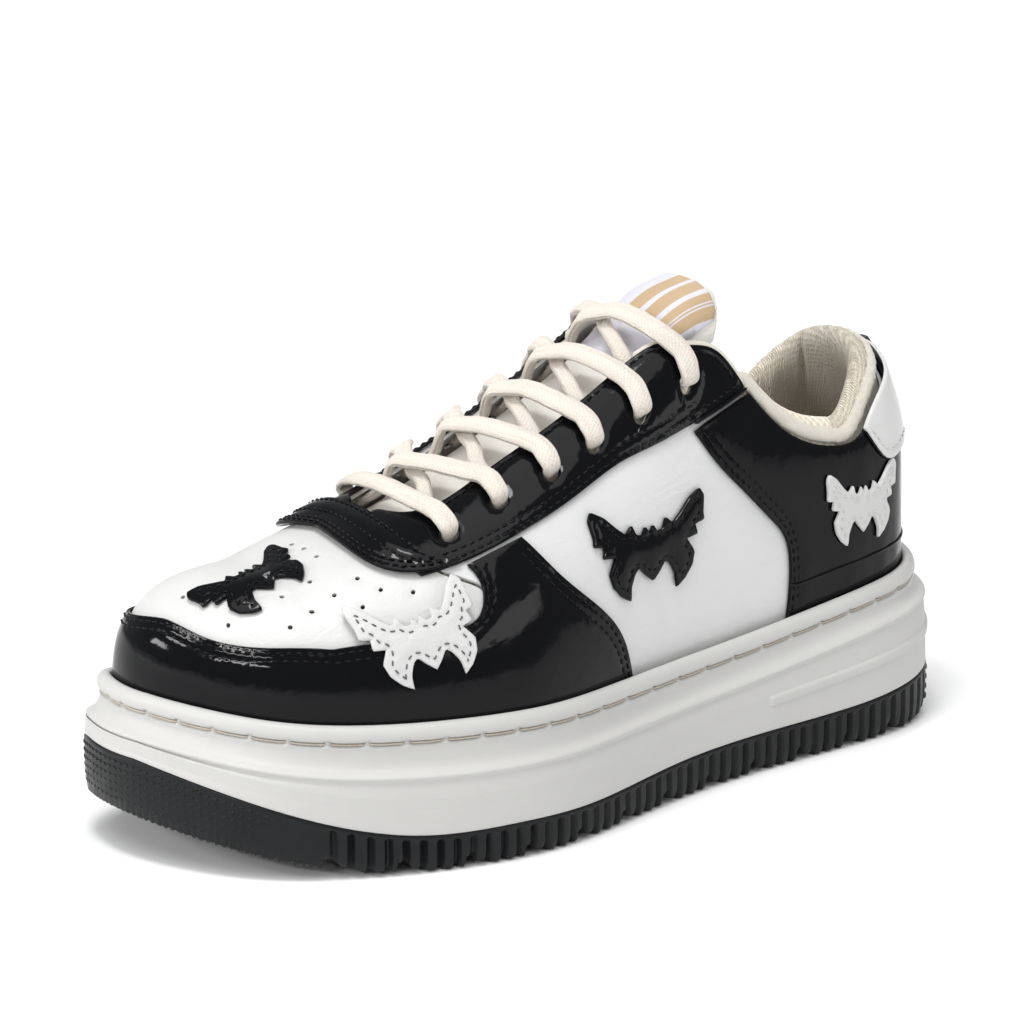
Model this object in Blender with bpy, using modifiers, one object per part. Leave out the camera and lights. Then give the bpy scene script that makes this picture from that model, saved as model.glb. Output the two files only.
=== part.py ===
"""Cheer shoe, left foot: chunky low-top lace-up trainer built as separate sewn and bonded pieces.

Frame: toe toward -Y, heel toward +Y, outer side of the foot toward +X, ground at Z = 0.
Working units are millimetres; points are scaled to metres when a mesh is made.
The upper is drawn as flat pattern pieces and laid over one foot form: pattern X runs from the
ridge of the instep out and down to the sole, pattern Y runs from toe to heel.
"""
import math

import bpy
import numpy as np
from mathutils import Vector
from mathutils.geometry import delaunay_2d_cdt

MM = 0.001
PI = math.pi

# ------------------------------------------------------------------ driving dimensions (mm)
SOLE_LENGTH = 285.0
SHIFT = (-3.99, 0.79, 0.0)      # puts the middle of the bounding box on the origin
RING = 96                      # points round every sole outline
TOE_PIVOT = -98.0               # the pattern fans out round the toe from here
HEEL_PIVOT = 92.0               # and round the heel from here
FOXING_INSET = -8.6             # upper stands this far inside the widest sole outline
UPPER_SINK = 6.0                # upper runs this far down inside the cup
LATTICE = 8.8                   # shared mesh lattice of the pattern pieces
SKIN = 1.1                      # leather and patent thickness
OVERLAY_TOP = 0.0               # offsets of each layer's outer face from the foot form
BASE_TOP = -1.6
STIFF_TOP = -3.2
STIFF_SKIN = 0.8
LINING_TOP = -4.5
TRIM_TOP = 1.55
TONGUE_TOP = -7.0
TONGUE_SKIN = 3.2
TONGUE_CUT = 37.0
TONGUE_GAP = 1.6
LACE_HALF_THICK = 1.45
LACE_HALF_WIDE = 2.8
EYELET_RADIUS = 3.6
LUG_PITCH = 19.5
LUG_DEPTH = 2.6

# widest sole outline: distance from the toe, outer side, inner side
OUTLINE = (
    (5, 8, -40),
    (20, 30.5, -48),
    (45, 47, -52),
    (75, 57.5, -52.5),
    (105, 60.5, -51),
    (135, 54.5, -48),
    (165, 47.5, -45),
    (195, 43.8, -42.5),
    (225, 42.3, -41),
    (252, 40, -38),
    (273, 30, -28),
)
TOE_TIP = (-16.0, -1.5)

# heights along the shoe: stations from the toe, then values
STATIONS = (0, 30, 60, 90, 120, 160, 200, 240, 285)
FOXING_Z = (49.5, 45.5, 43.8, 43.0, 42.0, 41.5, 43.5, 48.0, 52.0)
LEDGE_Z = (37.8, 32.0, 29.4, 28.6, 28.4, 28.6, 31.0, 36.0, 41.0)
OUTSOLE_Z = (31.5, 19.0, 11.8, 11.3, 10.9, 12.2, 12.6, 13.4, 18.0)

# foot form along the shoe: stations in Y, ridge height, fullness, ridge position across
RIDGE_Y = (-98, -75, -50, -25, 0, 20, 33, 45, 70, 92)
RIDGE_Z = (82.5, 90, 98.5, 109.5, 122, 133, 140.5, 146, 150, 151)
FULL_Y = (-98, -50, 0, 33, 92)
FULLNESS = (2.75, 2.35, 2.45, 2.9, 3.2)
CENTRE_Y = (-98, -50, 0, 45, 92)
CENTRE_X = (-9, -6, -5, -3, 0)

# six punched eyelets in the outer facing, pattern coordinates
EYELETS = ((33.3, -52.0), (34.8, -33.5), (39.8, -15.2), (44.0, 0.8), (49.6, 18.0), (55.4, 35.4))


# ------------------------------------------------------------------ curves
def cubic(at, knots, values):
    """Natural cubic through the knots, held flat outside them."""
    at = np.asarray(at, float)
    ks = np.asarray(knots, float)
    vs = np.asarray(values, float)
    m = len(ks)
    h = np.diff(ks)
    a = np.eye(m)
    b = np.zeros(m)
    for i in range(1, m - 1):
        a[i, i - 1] = h[i - 1]
        a[i, i] = 2 * (h[i - 1] + h[i])
        a[i, i + 1] = h[i]
        b[i] = 6 * ((vs[i + 1] - vs[i]) / h[i] - (vs[i] - vs[i - 1]) / h[i - 1])
    bend = np.linalg.solve(a, b)
    at = np.clip(at, ks[0], ks[-1])
    k = np.clip(np.searchsorted(ks, at, side="right") - 1, 0, m - 2)
    x = at - ks[k]
    w = h[k]
    r = w - x
    one = bend[k] * r ** 3 / (6 * w) + bend[k + 1] * x ** 3 / (6 * w)
    two = (vs[k] / w - bend[k] * w / 6) * r + (vs[k + 1] / w - bend[k + 1] * w / 6) * x
    return one + two


def closed_spline(points, count):
    """Smooth closed curve through the points, sampled count times."""
    p = np.asarray(points, float)
    m = len(p)
    step = np.hypot(*(np.roll(p, -1, axis=0) - p).T) ** 0.6
    t = np.concatenate([[0], np.cumsum(step)])
    h = np.diff(t)
    a = np.zeros((m, m))
    b = np.zeros((m, 2))
    for i in range(m):
        j = (i + 1) % m
        a[i, i - 1] += h[i - 1]
        a[i, i] += 2 * (h[i - 1] + h[i])
        a[i, j] += h[i]
        b[i] = 6 * ((p[j] - p[i]) / h[i] - (p[i] - p[i - 1]) / h[i - 1])
    bend = np.linalg.solve(a, b)
    s = np.linspace(0, t[-1], count, endpoint=False)
    k = np.clip(np.searchsorted(t, s, side="right") - 1, 0, m - 1)
    x = (s - t[k])[:, None]
    w = h[k][:, None]
    r = w - x
    q = p[(k + 1) % m]
    c = bend[(k + 1) % m]
    out = bend[k] * r ** 3 / (6 * w) + c * x ** 3 / (6 * w)
    return out + (p[k] / w - bend[k] * w / 6) * r + (q / w - c * w / 6) * x


def even(points, count):
    """Closed curve re-spaced evenly."""
    p = np.vstack([points, points[:1]])
    t = np.concatenate([[0], np.cumsum(np.hypot(*np.diff(p, axis=0).T))])
    s = np.linspace(0, t[-1], count, endpoint=False)
    return np.column_stack([np.interp(s, t, p[:, 0]), np.interp(s, t, p[:, 1])])


def sole_outline(count=720):
    pts = [TOE_TIP]
    pts += [(outer, s) for s, outer, inner in OUTLINE]
    pts += [(0.0, SOLE_LENGTH)]
    pts += [(inner, s) for s, outer, inner in OUTLINE[::-1]]
    q = closed_spline(pts, count)
    q[:, 1] -= SOLE_LENGTH / 2
    return q


def grown(curve, by):
    """Closed curve moved outward in small steps, kept evenly spaced."""
    steps = max(1, int(math.ceil(abs(by) / 1.5)))
    for k in range(steps):
        d = np.roll(curve, -2, axis=0) - np.roll(curve, 2, axis=0)
        d /= np.linalg.norm(d, axis=1)[:, None]
        curve = even(curve + np.column_stack([d[:, 1], -d[:, 0]]) * (by / steps), 360)
    return curve


def along(y, values):
    return cubic(np.asarray(y) + SOLE_LENGTH / 2, STATIONS, values)


def ground(y):
    """Toe spring and a little heel spring; flat between."""
    s = np.asarray(y) + SOLE_LENGTH / 2
    toe = 13.0 * (np.clip(70 - s, 0, None) / 70) ** 2
    heel = 3.0 * (np.clip(s - 252, 0, None) / 33) ** 2
    return toe + heel


# ------------------------------------------------------------------ foot form
FOOT = grown(sole_outline(), FOXING_INSET)


def polar(centre, curve):
    th = np.arctan2(curve[:, 0] - centre[0], centre[1] - curve[:, 1])
    o = np.argsort(th)
    th = th[o]
    r = np.hypot(curve[:, 0] - centre[0], curve[:, 1] - centre[1])[o]
    turns = np.concatenate([th[-3:] - 2 * PI, th, th[:3] + 2 * PI])
    return turns, np.concatenate([r[-3:], r, r[:3]])


def side_edge(curve, outer):
    n = len(curve)
    i0 = int(curve[:, 1].argmin())
    i1 = int(curve[:, 1].argmax())
    if i1 < i0:
        i1 += n
    a = curve[np.arange(i0, i1 + 1) % n]
    b = curve[np.arange(i1, i0 + n + 1) % n][::-1]
    if (a[:, 0].mean() > b[:, 0].mean()) != outer:
        a = b
    return a[:, 1], a[:, 0]


TOE_FAN = polar((float(cubic(TOE_PIVOT, CENTRE_Y, CENTRE_X)), TOE_PIVOT), FOOT)
HEEL_FAN = polar((float(cubic(HEEL_PIVOT, CENTRE_Y, CENTRE_X)), HEEL_PIVOT), FOOT)
OUTER_EDGE = side_edge(FOOT, True)
INNER_EDGE = side_edge(FOOT, False)


def section(x, y):
    """Size of the foot-form section that a pattern point lies on."""
    st = np.clip(y, TOE_PIVOT, HEEL_PIVOT)
    toe = y < TOE_PIVOT
    heel = y > HEEL_PIVOT
    rad = np.where(toe, np.hypot(x, y - TOE_PIVOT), np.abs(x))
    rad = np.where(heel, np.hypot(x, y - HEEL_PIVOT), rad)
    th = np.where(x >= 0, PI / 2, -PI / 2)
    th = np.where(toe, np.arctan2(x, TOE_PIVOT - y), th)
    th = np.where(heel, np.arctan2(x, HEEL_PIVOT - y), th)
    c = cubic(st, CENTRE_Y, CENTRE_X)
    w = np.where(x >= 0, np.interp(st, *OUTER_EDGE) - c, c - np.interp(st, *INNER_EDGE))
    w = np.where(toe, np.interp(th, *TOE_FAN), w)
    w = np.where(heel, np.interp(th, *HEEL_FAN), w)
    foot_y = np.where(toe | heel, st - w * np.cos(th), st)
    low = along(foot_y, FOXING_Z) - UPPER_SINK
    tall = cubic(st, RIDGE_Y, RIDGE_Z) - low
    return st, rad, th, c, w, low, tall, toe | heel


def girth(w, tall):
    return 0.8 * (w + tall)


def form(x, y):
    """Pattern point -> point on the foot form."""
    x = np.asarray(x, float)
    y = np.asarray(y, float)
    st, rad, th, c, w, low, tall, fan = section(x, y)
    n = cubic(st, FULL_Y, FULLNESS)
    psi = rad / girth(w, tall) * PI / 2
    s = np.sin(psi)
    k = np.cos(psi)
    r = (np.abs(s) ** n + np.abs(k) ** n) ** (-1 / n)
    rho = w * r * s
    z = low + tall * r * k
    lean = np.clip((st - 30) / 62, 0, 1) * np.clip((z - 84) / 34, 0, 1.6) ** 2
    rho = rho - 8.0 * lean * np.clip(s, 0, 1) ** 2
    return np.stack([c + rho * np.sin(th), np.where(fan, st - rho * np.cos(th), st), z], -1)


def lifted(x, y, off):
    """Pattern point -> point at a given distance outside the foot form."""
    x = np.asarray(x, float)
    y = np.asarray(y, float)
    e = 0.6
    du = form(x + e, y) - form(x - e, y)
    dv = form(x, y + e) - form(x, y - e)
    n = np.cross(du, dv)
    n /= np.linalg.norm(n, axis=-1)[..., None] + 1e-12
    return form(x, y) + n * np.asarray(off, float)[..., None]


def rim(t, side, share):
    """Pattern point on the ray t (0 toe, 1..2 flank, 3 heel) at a share of the full girth."""
    if t < 1:
        th = t * PI / 2
        probe = (side * 50 * math.sin(th), TOE_PIVOT - 50 * math.cos(th) - 1e-6)
    elif t <= 2:
        probe = (side * 50.0, TOE_PIVOT + (t - 1) * (HEEL_PIVOT - TOE_PIVOT))
    else:
        th = (3 - t) * PI / 2
        probe = (side * 50 * math.sin(th), HEEL_PIVOT + 50 * math.cos(th) + 1e-6)
    st, rad, ang, c, w, low, tall, fan = section(np.array([probe[0]]), np.array([probe[1]]))
    g = float(girth(w, tall)[0]) * share
    if t < 1:
        return (side * g * math.sin(th), TOE_PIVOT - g * math.cos(th))
    if t <= 2:
        return (side * g, probe[1])
    return (side * g * math.sin(th), HEEL_PIVOT + g * math.cos(th))


def ray_of(y):
    return 1 + (y - TOE_PIVOT) / (HEEL_PIVOT - TOE_PIVOT)


def rim_path(t0, t1, side, share, count):
    return [rim(t, side, share) for t in np.linspace(t0, t1, count)]


def inner_side(points):
    """The same pattern laid on the inner side, keeping its height on the shoe."""
    out = []
    for x, y in points:
        st, rad, th, c, w, low, tall, fan = section(np.array([x]), np.array([y]))
        share = float(rad[0] / girth(w, tall)[0])
        if y < TOE_PIVOT:
            t = math.atan2(x, TOE_PIVOT - y) / (PI / 2)
        elif y > HEEL_PIVOT:
            t = 3 - math.atan2(x, y - HEEL_PIVOT) / (PI / 2)
        else:
            t = ray_of(y)
        out.append(rim(t, -1, share))
    return out


# ------------------------------------------------------------------ pattern outlines
def bend(points, per=6):
    """Smooth open run through the points."""
    p = np.asarray(points, float)
    if len(p) < 3:
        return [tuple(v) for v in p]
    t = np.concatenate([[0], np.cumsum(np.hypot(*np.diff(p, axis=0).T))])
    s = np.linspace(0, t[-1], per * (len(p) - 1) + 1)
    return list(zip(cubic(s, t, p[:, 0]), cubic(s, t, p[:, 1])))


def ring_of(runs, step):
    """Join runs into one closed outline, corners kept, spaced to the step."""
    out = []
    for run in runs:
        p = np.asarray(run, float)
        t = np.concatenate([[0], np.cumsum(np.hypot(*np.diff(p, axis=0).T))])
        n = max(1, int(round(t[-1] / step)))
        s = np.linspace(0, t[-1], n + 1)
        q = np.column_stack([np.interp(s, t, p[:, 0]), np.interp(s, t, p[:, 1])])
        if out and np.hypot(*(q[0] - out[-1])) < 0.05:
            q = q[1:]
        out.extend(list(q))
    if np.hypot(*(out[0] - out[-1])) < 0.05:
        out = out[:-1]
    return np.array(out)


def inside(pts, poly):
    x = pts[:, 0]
    y = pts[:, 1]
    hit = np.zeros(len(pts), bool)
    a = poly
    b = np.roll(poly, -1, axis=0)
    for (x0, y0), (x1, y1) in zip(a, b):
        span = (y0 > y) != (y1 > y)
        cut = (x1 - x0) * (y - y0) / ((y1 - y0) if y1 != y0 else 1e-12) + x0
        hit ^= span & (x < cut)
    return hit


def clear_of(pts, poly, dist):
    a = poly
    b = np.roll(poly, -1, axis=0)
    ok = np.ones(len(pts), bool)
    for p, q in zip(a, b):
        d = q - p
        t = np.clip(((pts - p) @ d) / (d @ d + 1e-12), 0, 1)
        near = p + t[:, None] * d
        ok &= np.hypot(*(pts - near).T) > dist
    return ok


def eyelet_ring(x, y, radius, count=10):
    """Round hole on the surface, as a loop in the pattern."""
    e = 0.5
    du = np.linalg.norm(form(x + e, y) - form(x - e, y)) / (2 * e)
    dv = np.linalg.norm(form(x, y + e) - form(x, y - e)) / (2 * e)
    a = np.arange(count) * 2 * PI / count
    return np.column_stack([x + radius / du * np.cos(a), y + radius / dv * np.sin(a)])


def triangulate(outline, holes, lattice):
    lo = outline.min(axis=0)
    hi = outline.max(axis=0)
    row = lattice * math.sqrt(3) / 2
    pts = []
    for j in range(int(math.floor(lo[1] / row)), int(math.ceil(hi[1] / row)) + 1):
        shift = 0.5 * lattice if j % 2 else 0.0
        for i in range(int(math.floor(lo[0] / lattice)) - 1, int(math.ceil(hi[0] / lattice)) + 1):
            pts.append((i * lattice + shift, j * row))
    pts = np.array(pts)
    keep = inside(pts, outline) & clear_of(pts, outline, lattice * 0.42)
    for hole in holes:
        keep &= ~inside(pts, hole) & clear_of(pts, hole, lattice * 0.25)
    pts = pts[keep]
    loops = [outline] + list(holes)
    verts = []
    edges = []
    for loop in loops:
        base = len(verts)
        verts += [tuple(v) for v in loop]
        edges += [(base + i, base + (i + 1) % len(loop)) for i in range(len(loop))]
    verts += [tuple(v) for v in pts]
    got = delaunay_2d_cdt([Vector(v) for v in verts], edges, [], 0, 1e-5, False)
    co = np.array([(v[0], v[1]) for v in got[0]])
    tri = np.array([f for f in got[2]])
    mid = co[tri].mean(axis=1)
    good = inside(mid, outline)
    for hole in holes:
        good &= ~inside(mid, hole)
    tri = tri[good]
    a = co[tri[:, 1]] - co[tri[:, 0]]
    b = co[tri[:, 2]] - co[tri[:, 0]]
    area = a[:, 0] * b[:, 1] - a[:, 1] * b[:, 0]
    flip = area < 0
    tri[flip] = tri[flip][:, ::-1]
    tri = tri[np.abs(area) > 1e-4]
    used = np.unique(tri)
    remap = -np.ones(len(co), int)
    remap[used] = np.arange(len(used))
    return co[used], remap[tri]


# ------------------------------------------------------------------ objects
for old in list(bpy.data.objects):
    bpy.data.objects.remove(old, do_unlink=True)

PARTS = bpy.data.collections.new("cheer_shoe")
CUTTERS = bpy.data.collections.new("cutters")
bpy.context.scene.collection.children.link(PARTS)
bpy.context.scene.collection.children.link(CUTTERS)

LOOKS = {
    "patent_black": ((0.008, 0.008, 0.010), 0.12, 0.0),
    "leather_white": ((0.82, 0.82, 0.80), 0.42, 0.0),
    "patent_white": ((0.84, 0.84, 0.83), 0.20, 0.0),
    "rubber_white": ((0.74, 0.73, 0.71), 0.55, 0.0),
    "rubber_black": ((0.022, 0.024, 0.025), 0.60, 0.0),
    "foam": ((0.80, 0.80, 0.78), 0.90, 0.0),
    "board": ((0.55, 0.50, 0.42), 0.85, 0.0),
    "knit_cream": ((0.84, 0.77, 0.66), 0.88, 0.0),
    "lace_cream": ((0.86, 0.80, 0.70), 0.80, 0.0),
    "label_tan": ((0.72, 0.47, 0.22), 0.60, 0.0),
    "thread": ((0.60, 0.50, 0.38), 0.75, 0.0),
    "stiffener": ((0.60, 0.57, 0.50), 0.80, 0.0),
}


def finish(name, look, verts, faces, solid=0.0):
    mesh = bpy.data.meshes.new(name)
    points = (np.asarray(verts) + np.array(SHIFT)) * MM
    mesh.from_pydata([tuple(v) for v in points], [], [tuple(int(i) for i in f) for f in faces])
    mesh.validate()
    mesh.update()
    obj = bpy.data.objects.new(name, mesh)
    PARTS.objects.link(obj)
    mat = bpy.data.materials.new(name + "_mat")
    mat.use_nodes = True
    shader = mat.node_tree.nodes["Principled BSDF"]
    colour, rough, metal = LOOKS[look]
    shader.inputs["Base Color"].default_value = (*colour, 1.0)
    shader.inputs["Roughness"].default_value = rough
    shader.inputs["Metallic"].default_value = metal
    mat.diffuse_color = (*colour, 1.0)
    mesh.materials.append(mat)
    if solid:
        mod = obj.modifiers.new("thickness", "SOLIDIFY")
        mod.thickness = solid * MM
        mod.offset = -1.0
        mod.use_rim = True
        mod.use_quality_normals = True
    return obj


def panel(name, look, runs, top, skin, holes=(), step=None, lattice=LATTICE, shape=None):
    """Pattern piece laid on the foot form as an open skin, thickened inward."""
    outline = ring_of(runs, step or lattice * 0.85)
    co, tri = triangulate(outline, list(holes), lattice)
    off = np.full(len(co), top) if shape is None else shape(co[:, 0], co[:, 1])
    return finish(name, look, lifted(co[:, 0], co[:, 1], off), tri, skin)


def flat_cap(ring, flip):
    pts = [Vector((p[0], p[1])) for p in ring]
    n = len(pts)
    got = delaunay_2d_cdt(pts, [(i, (i + 1) % n) for i in range(n)], [], 1, 1e-6, True)
    faces = []
    flat = np.array([(p[0], p[1]) for p in ring])
    for f in got[2]:
        ids = [got[3][i][0] for i in f]
        p = [ring[i] for i in ids]
        if not inside(flat[ids].mean(axis=0)[None, :], flat)[0]:
            continue
        a = (p[1][0] - p[0][0]) * (p[2][1] - p[0][1]) - (p[1][1] - p[0][1]) * (p[2][0] - p[0][0])
        if abs(a) < 1e-7:
            continue
        if (a < 0) != flip:
            ids = ids[::-1]
        faces.append(tuple(ids))
    return faces


def stack(name, look, rings):
    """Closed solid from rings round the shoe: first ring capped facing down or up, last likewise.

    The rings run from the first cap, over the outside, to the last cap.
    """
    n = len(rings[0])
    verts = np.vstack(rings)
    faces = []
    for k in range(len(rings) - 1):
        for i in range(n):
            j = (i + 1) % n
            faces.append((k * n + i, k * n + j, (k + 1) * n + j, (k + 1) * n + i))
    low = flat_cap(rings[0], True)
    faces += low
    high = flat_cap(rings[-1], False)
    last = (len(rings) - 1) * n
    faces += [tuple(last + i for i in f) for f in high]
    return finish(name, look, verts, faces)


def sole_ring(off, heights, lift):
    c = even(grown(sole_outline(), off), RING)
    z = heights(c[:, 1]) + lift
    return np.column_stack([c, z])


def foxing(y):
    return along(y, FOXING_Z)


def ledge(y):
    return along(y, LEDGE_Z)


def seam(y):
    return along(y, OUTSOLE_Z)


# ------------------------------------------------------------------ sole
out_rings = [
    sole_ring(-4.0, ground, 0.0),
    sole_ring(-2.2, ground, 0.9),
    sole_ring(-0.9, lambda y: 0.55 * ground(y) + 0.45 * seam(y), 0.0),
    sole_ring(-0.1, seam, -2.2),
    sole_ring(0.0, seam, -0.3),
]
outsole = stack("outsole", "rubber_black", out_rings)

groove_verts = []
groove_faces = []
y = -SOLE_LENGTH / 2 + 34.0
while y < SOLE_LENGTH / 2 - 20:
    base = len(groove_verts)
    prof = ((y, -4.0), (y, LUG_DEPTH), (y + 1.2, LUG_DEPTH), (y + 7.5, 0.0), (y + 7.5, -4.0))
    for x in (-90.0, 90.0):
        groove_verts += [(x, py, pz) for py, pz in prof]
    n = len(prof)
    groove_faces.append(tuple(base + i for i in range(n)))
    groove_faces.append(tuple(base + n + i for i in reversed(range(n))))
    for i in range(n):
        j = (i + 1) % n
        groove_faces.append((base + j, base + i, base + n + i, base + n + j))
    y += LUG_PITCH
cut_mesh = bpy.data.meshes.new("tread_grooves")
cut_mesh.from_pydata([tuple(c * MM for c in v) for v in groove_verts], [], groove_faces)
cut_mesh.update()
cutter = bpy.data.objects.new("tread_grooves", cut_mesh)
CUTTERS.objects.link(cutter)
cutter.hide_render = True
cutter.display_type = "WIRE"
cut = outsole.modifiers.new("lugs", "BOOLEAN")
cut.operation = "DIFFERENCE"
cut.solver = "EXACT"
cut.object = cutter

cup_rings = [
    sole_ring(0.0, seam, 0.0),
    sole_ring(-0.2, lambda y: 0.5 * seam(y) + 0.5 * ledge(y), 0.0),
    sole_ring(-1.0, ledge, -1.6),
    sole_ring(-2.0, ledge, 0.3),
    sole_ring(-3.6, ledge, 1.2),
    sole_ring(-4.3, foxing, -6.2),
    sole_ring(-5.4, foxing, -5.5),
    sole_ring(-5.4, foxing, -4.3),
    sole_ring(-4.4, foxing, -3.6),
    sole_ring(-5.0, foxing, -0.9),
    sole_ring(-6.0, foxing, -0.1),
    sole_ring(-8.0, foxing, -0.2),
    sole_ring(-8.1, foxing, -7.5),
    sole_ring(-8.3, foxing, -17.0),
]
stack("midsole_cup", "rubber_white", cup_rings)

wedge_rings = [
    sole_ring(-8.8, foxing, -16.6),
    sole_ring(-8.6, foxing, -8.4),
]
stack("midsole_wedge", "foam", wedge_rings)

board_rings = [
    sole_ring(-12.0, foxing, -8.0),
    sole_ring(-12.0, foxing, -6.7),
]
stack("insole_board", "board", board_rings)

sock_rings = [
    sole_ring(-16.2, foxing, -6.3),
    sole_ring(-15.4, foxing, -5.0),
    sole_ring(-15.6, foxing, -1.8),
    sole_ring(-17.5, foxing, -1.2),
]
stack("sockliner", "knit_cream", sock_rings)


def hoop(name, look, rings):
    """Closed ring with no caps: the rings are joined end to end."""
    n = len(rings[0])
    m = len(rings)
    faces = []
    for k in range(m):
        q = (k + 1) % m
        for i in range(n):
            j = (i + 1) % n
            faces.append((k * n + i, k * n + j, q * n + j, q * n + i))
    return finish(name, look, np.vstack(rings), faces)


hoop("sidewall_stitch", "thread", [
    sole_ring(-4.8, foxing, -5.25),
    sole_ring(-4.4, foxing, -4.9),
    sole_ring(-4.8, foxing, -4.55),
    sole_ring(-5.15, foxing, -4.9),
])

# ------------------------------------------------------------------ upper, base layer
eye_outer = [eyelet_ring(x, yy, EYELET_RADIUS) for x, yy in EYELETS]
EYELETS_IN = inner_side(EYELETS)
eye_inner = [eyelet_ring(x, yy, EYELET_RADIUS) for x, yy in EYELETS_IN]


def both(runs):
    return [inner_side(run) for run in runs]


VAMP_T = ray_of(-47.0)
QUARTER_T = ray_of(-45.8)
vamp_back = bend([rim(VAMP_T, 1, 0.985), (70, -47), (55, -50), (43, -60), (24, -66), (0, -68)])
vamp_back_in = inner_side(vamp_back[:-1])
panel("vamp", "leather_white", [
    rim_path(VAMP_T, 0.0, -1, 0.985, 24)[:-1] + rim_path(0.0, VAMP_T, 1, 0.985, 24),
    vamp_back + vamp_back_in[::-1],
], BASE_TOP, SKIN)

quarter_front = bend([(17.5, -59.5), (25, -64), (43.5, -58.4), (55.5, -48.6), (70, -45.6),
                      rim(QUARTER_T, 1, 0.985)])
quarter_top = bend([(17.5, -59.5), (22.5, -50), (24, -36), (27, -15), (30, 1), (33, 18), (36, 26.5),
                    (41, 32.5), (47, 37.5), (55, 46.5), (62.5, 52.5), (69, 57), (75.5, 66), (80.6, 78),
                    (82.2, 90), (77.5, 114), (60.5, 133), (34, 154.5), (0.6, 158.5)])
quarter_runs = [
    quarter_front,
    rim_path(QUARTER_T, 2.995, 1, 0.985, 40),
    [rim(2.995, 1, 0.985), quarter_top[-1]],
    quarter_top[::-1],
]
panel("quarter_outer", "leather_white", quarter_runs, BASE_TOP, SKIN, eye_outer)
panel("quarter_inner", "leather_white", both(quarter_runs), BASE_TOP, SKIN, eye_inner)

# ------------------------------------------------------------------ upper, overlays
eyestay_inner = bend([(8, -61), (17, -57), (21, -50), (22.5, -36), (25.5, -15), (28.5, 1), (31.5, 18),
                      (34.5, 27), (39, 33), (45.3, 37.8), (53.8, 48.0), (61.0, 53.6), (66.4, 57.2)])
eyestay_seam = bend([(66.4, 57.2), (67.2, 47), (65.3, 34.6)])
eyestay_lower = bend([(65.3, 34.6), (61, 21.6), (55.4, 6.8), (51.5, -14), (47.2, -35), (43.2, -54),
                      (40, -66.5)])
eyestay_runs = [
    eyestay_inner,
    eyestay_seam,
    eyestay_lower,
    bend([(40, -66.5), (24, -70), (8, -70)]),
    [(8, -70), (8, -61)],
]
panel("eyestay_outer", "patent_black", eyestay_runs, OVERLAY_TOP, SKIN, eye_outer)
panel("eyestay_inner", "patent_black", both(eyestay_runs), OVERLAY_TOP, SKIN, eye_inner)

MUD_T = ray_of(3.3)
mud_back = bend([rim(MUD_T, 1, 0.985), (94.5, -0.7), (82.3, -10), (65.4, -24.6), (48.9, -33.2)])
mud_side = bend([(48.9, -33.2), (46.4, -44), (44.9, -52.5)])
mud_lip = bend([(44.9, -52.5), (53, -51), (59.5, -54.5), (59, -63), (54, -77), (45.5, -95),
                (33.3, -118.5), (17, -129.8), (0, -132)])
mud_lip_in = inner_side(mud_lip[:-1])
panel("mudguard", "patent_black", [
    rim_path(MUD_T, 0.0, -1, 0.985, 34)[:-1] + rim_path(0.0, MUD_T, 1, 0.985, 34),
    mud_back,
    mud_side,
    mud_lip + mud_lip_in[::-1],
    inner_side(mud_side)[::-1],
    inner_side(mud_back)[::-1],
], OVERLAY_TOP, SKIN)

HEEL_T = ray_of(69.4)
heel_front = bend([(67.2, 34.8), (78, 42.9), (86.8, 53.6), (93.3, 63.6), (98, 69.6), (105.6, 71.0),
                   rim(HEEL_T, 1, 0.985)])
heel_top = bend([(67.7, 58.4), (73.9, 66), (78.9, 78), (80.4, 90), (76, 113), (58.8, 131),
                 (34, 152), (5.4, 156)])
STRIP_HALF = 4.6
strip_low = rim(2.97, 1, 0.985)
heel_runs = [
    bend([(67.7, 58.4), (68.5, 47), (67.2, 34.8)]),
    heel_front,
    rim_path(HEEL_T, 2.955, 1, 0.985, 30),
    [rim(2.955, 1, 0.985), (5.4, 156)],
    heel_top[::-1],
]
panel("heel_quarter_outer", "patent_black", heel_runs, OVERLAY_TOP, SKIN)
panel("heel_quarter_inner", "patent_black", both(heel_runs), OVERLAY_TOP, SKIN)

low_y = rim(2.999, 1, 0.985)[1]
panel("back_strip", "patent_white", [
    [(-STRIP_HALF, 157), (STRIP_HALF, 157)],
    [(STRIP_HALF, 157), (STRIP_HALF, low_y)],
    [(STRIP_HALF, low_y), (-STRIP_HALF, low_y)],
    [(-STRIP_HALF, low_y), (-STRIP_HALF, 157)],
], OVERLAY_TOP, SKIN)

bar_front = bend([(43.2, -53.6), (39, -67), (30, -76.5), (17, -78.6), (0, -77)])
bar_back = bend([(43.2, -53.6), (36, -61.5), (20, -64.5), (0, -64)])
panel("throat_bar", "patent_black", [
    bar_front + inner_side(bar_front[:-1])[::-1],
    inner_side(bar_back[:-1]) + bar_back[::-1],
], TRIM_TOP, SKIN)

tab_top = bend([(73.5, 116.5), (58, 132), (34, 153), (0, 157)])
tab_low = bend([(73.5, 116.5), (72.6, 136.0), (52, 160), (24, 175), (0, 179)])
panel("heel_tab", "patent_white", [
    tab_low + inner_side(tab_low[:-1])[::-1],
    inner_side(tab_top[:-1]) + tab_top[::-1],
], TRIM_TOP, SKIN)

panel("pull_tab", "patent_black", [
    [(-4.5, 158), (4.5, 158)],
    [(4.5, 158), (4.5, 171)],
    [(4.5, 171), (-4.5, 171)],
    [(-4.5, 171), (-4.5, 158)],
], TRIM_TOP + 2.0, 1.7, lattice=6.0)

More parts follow.
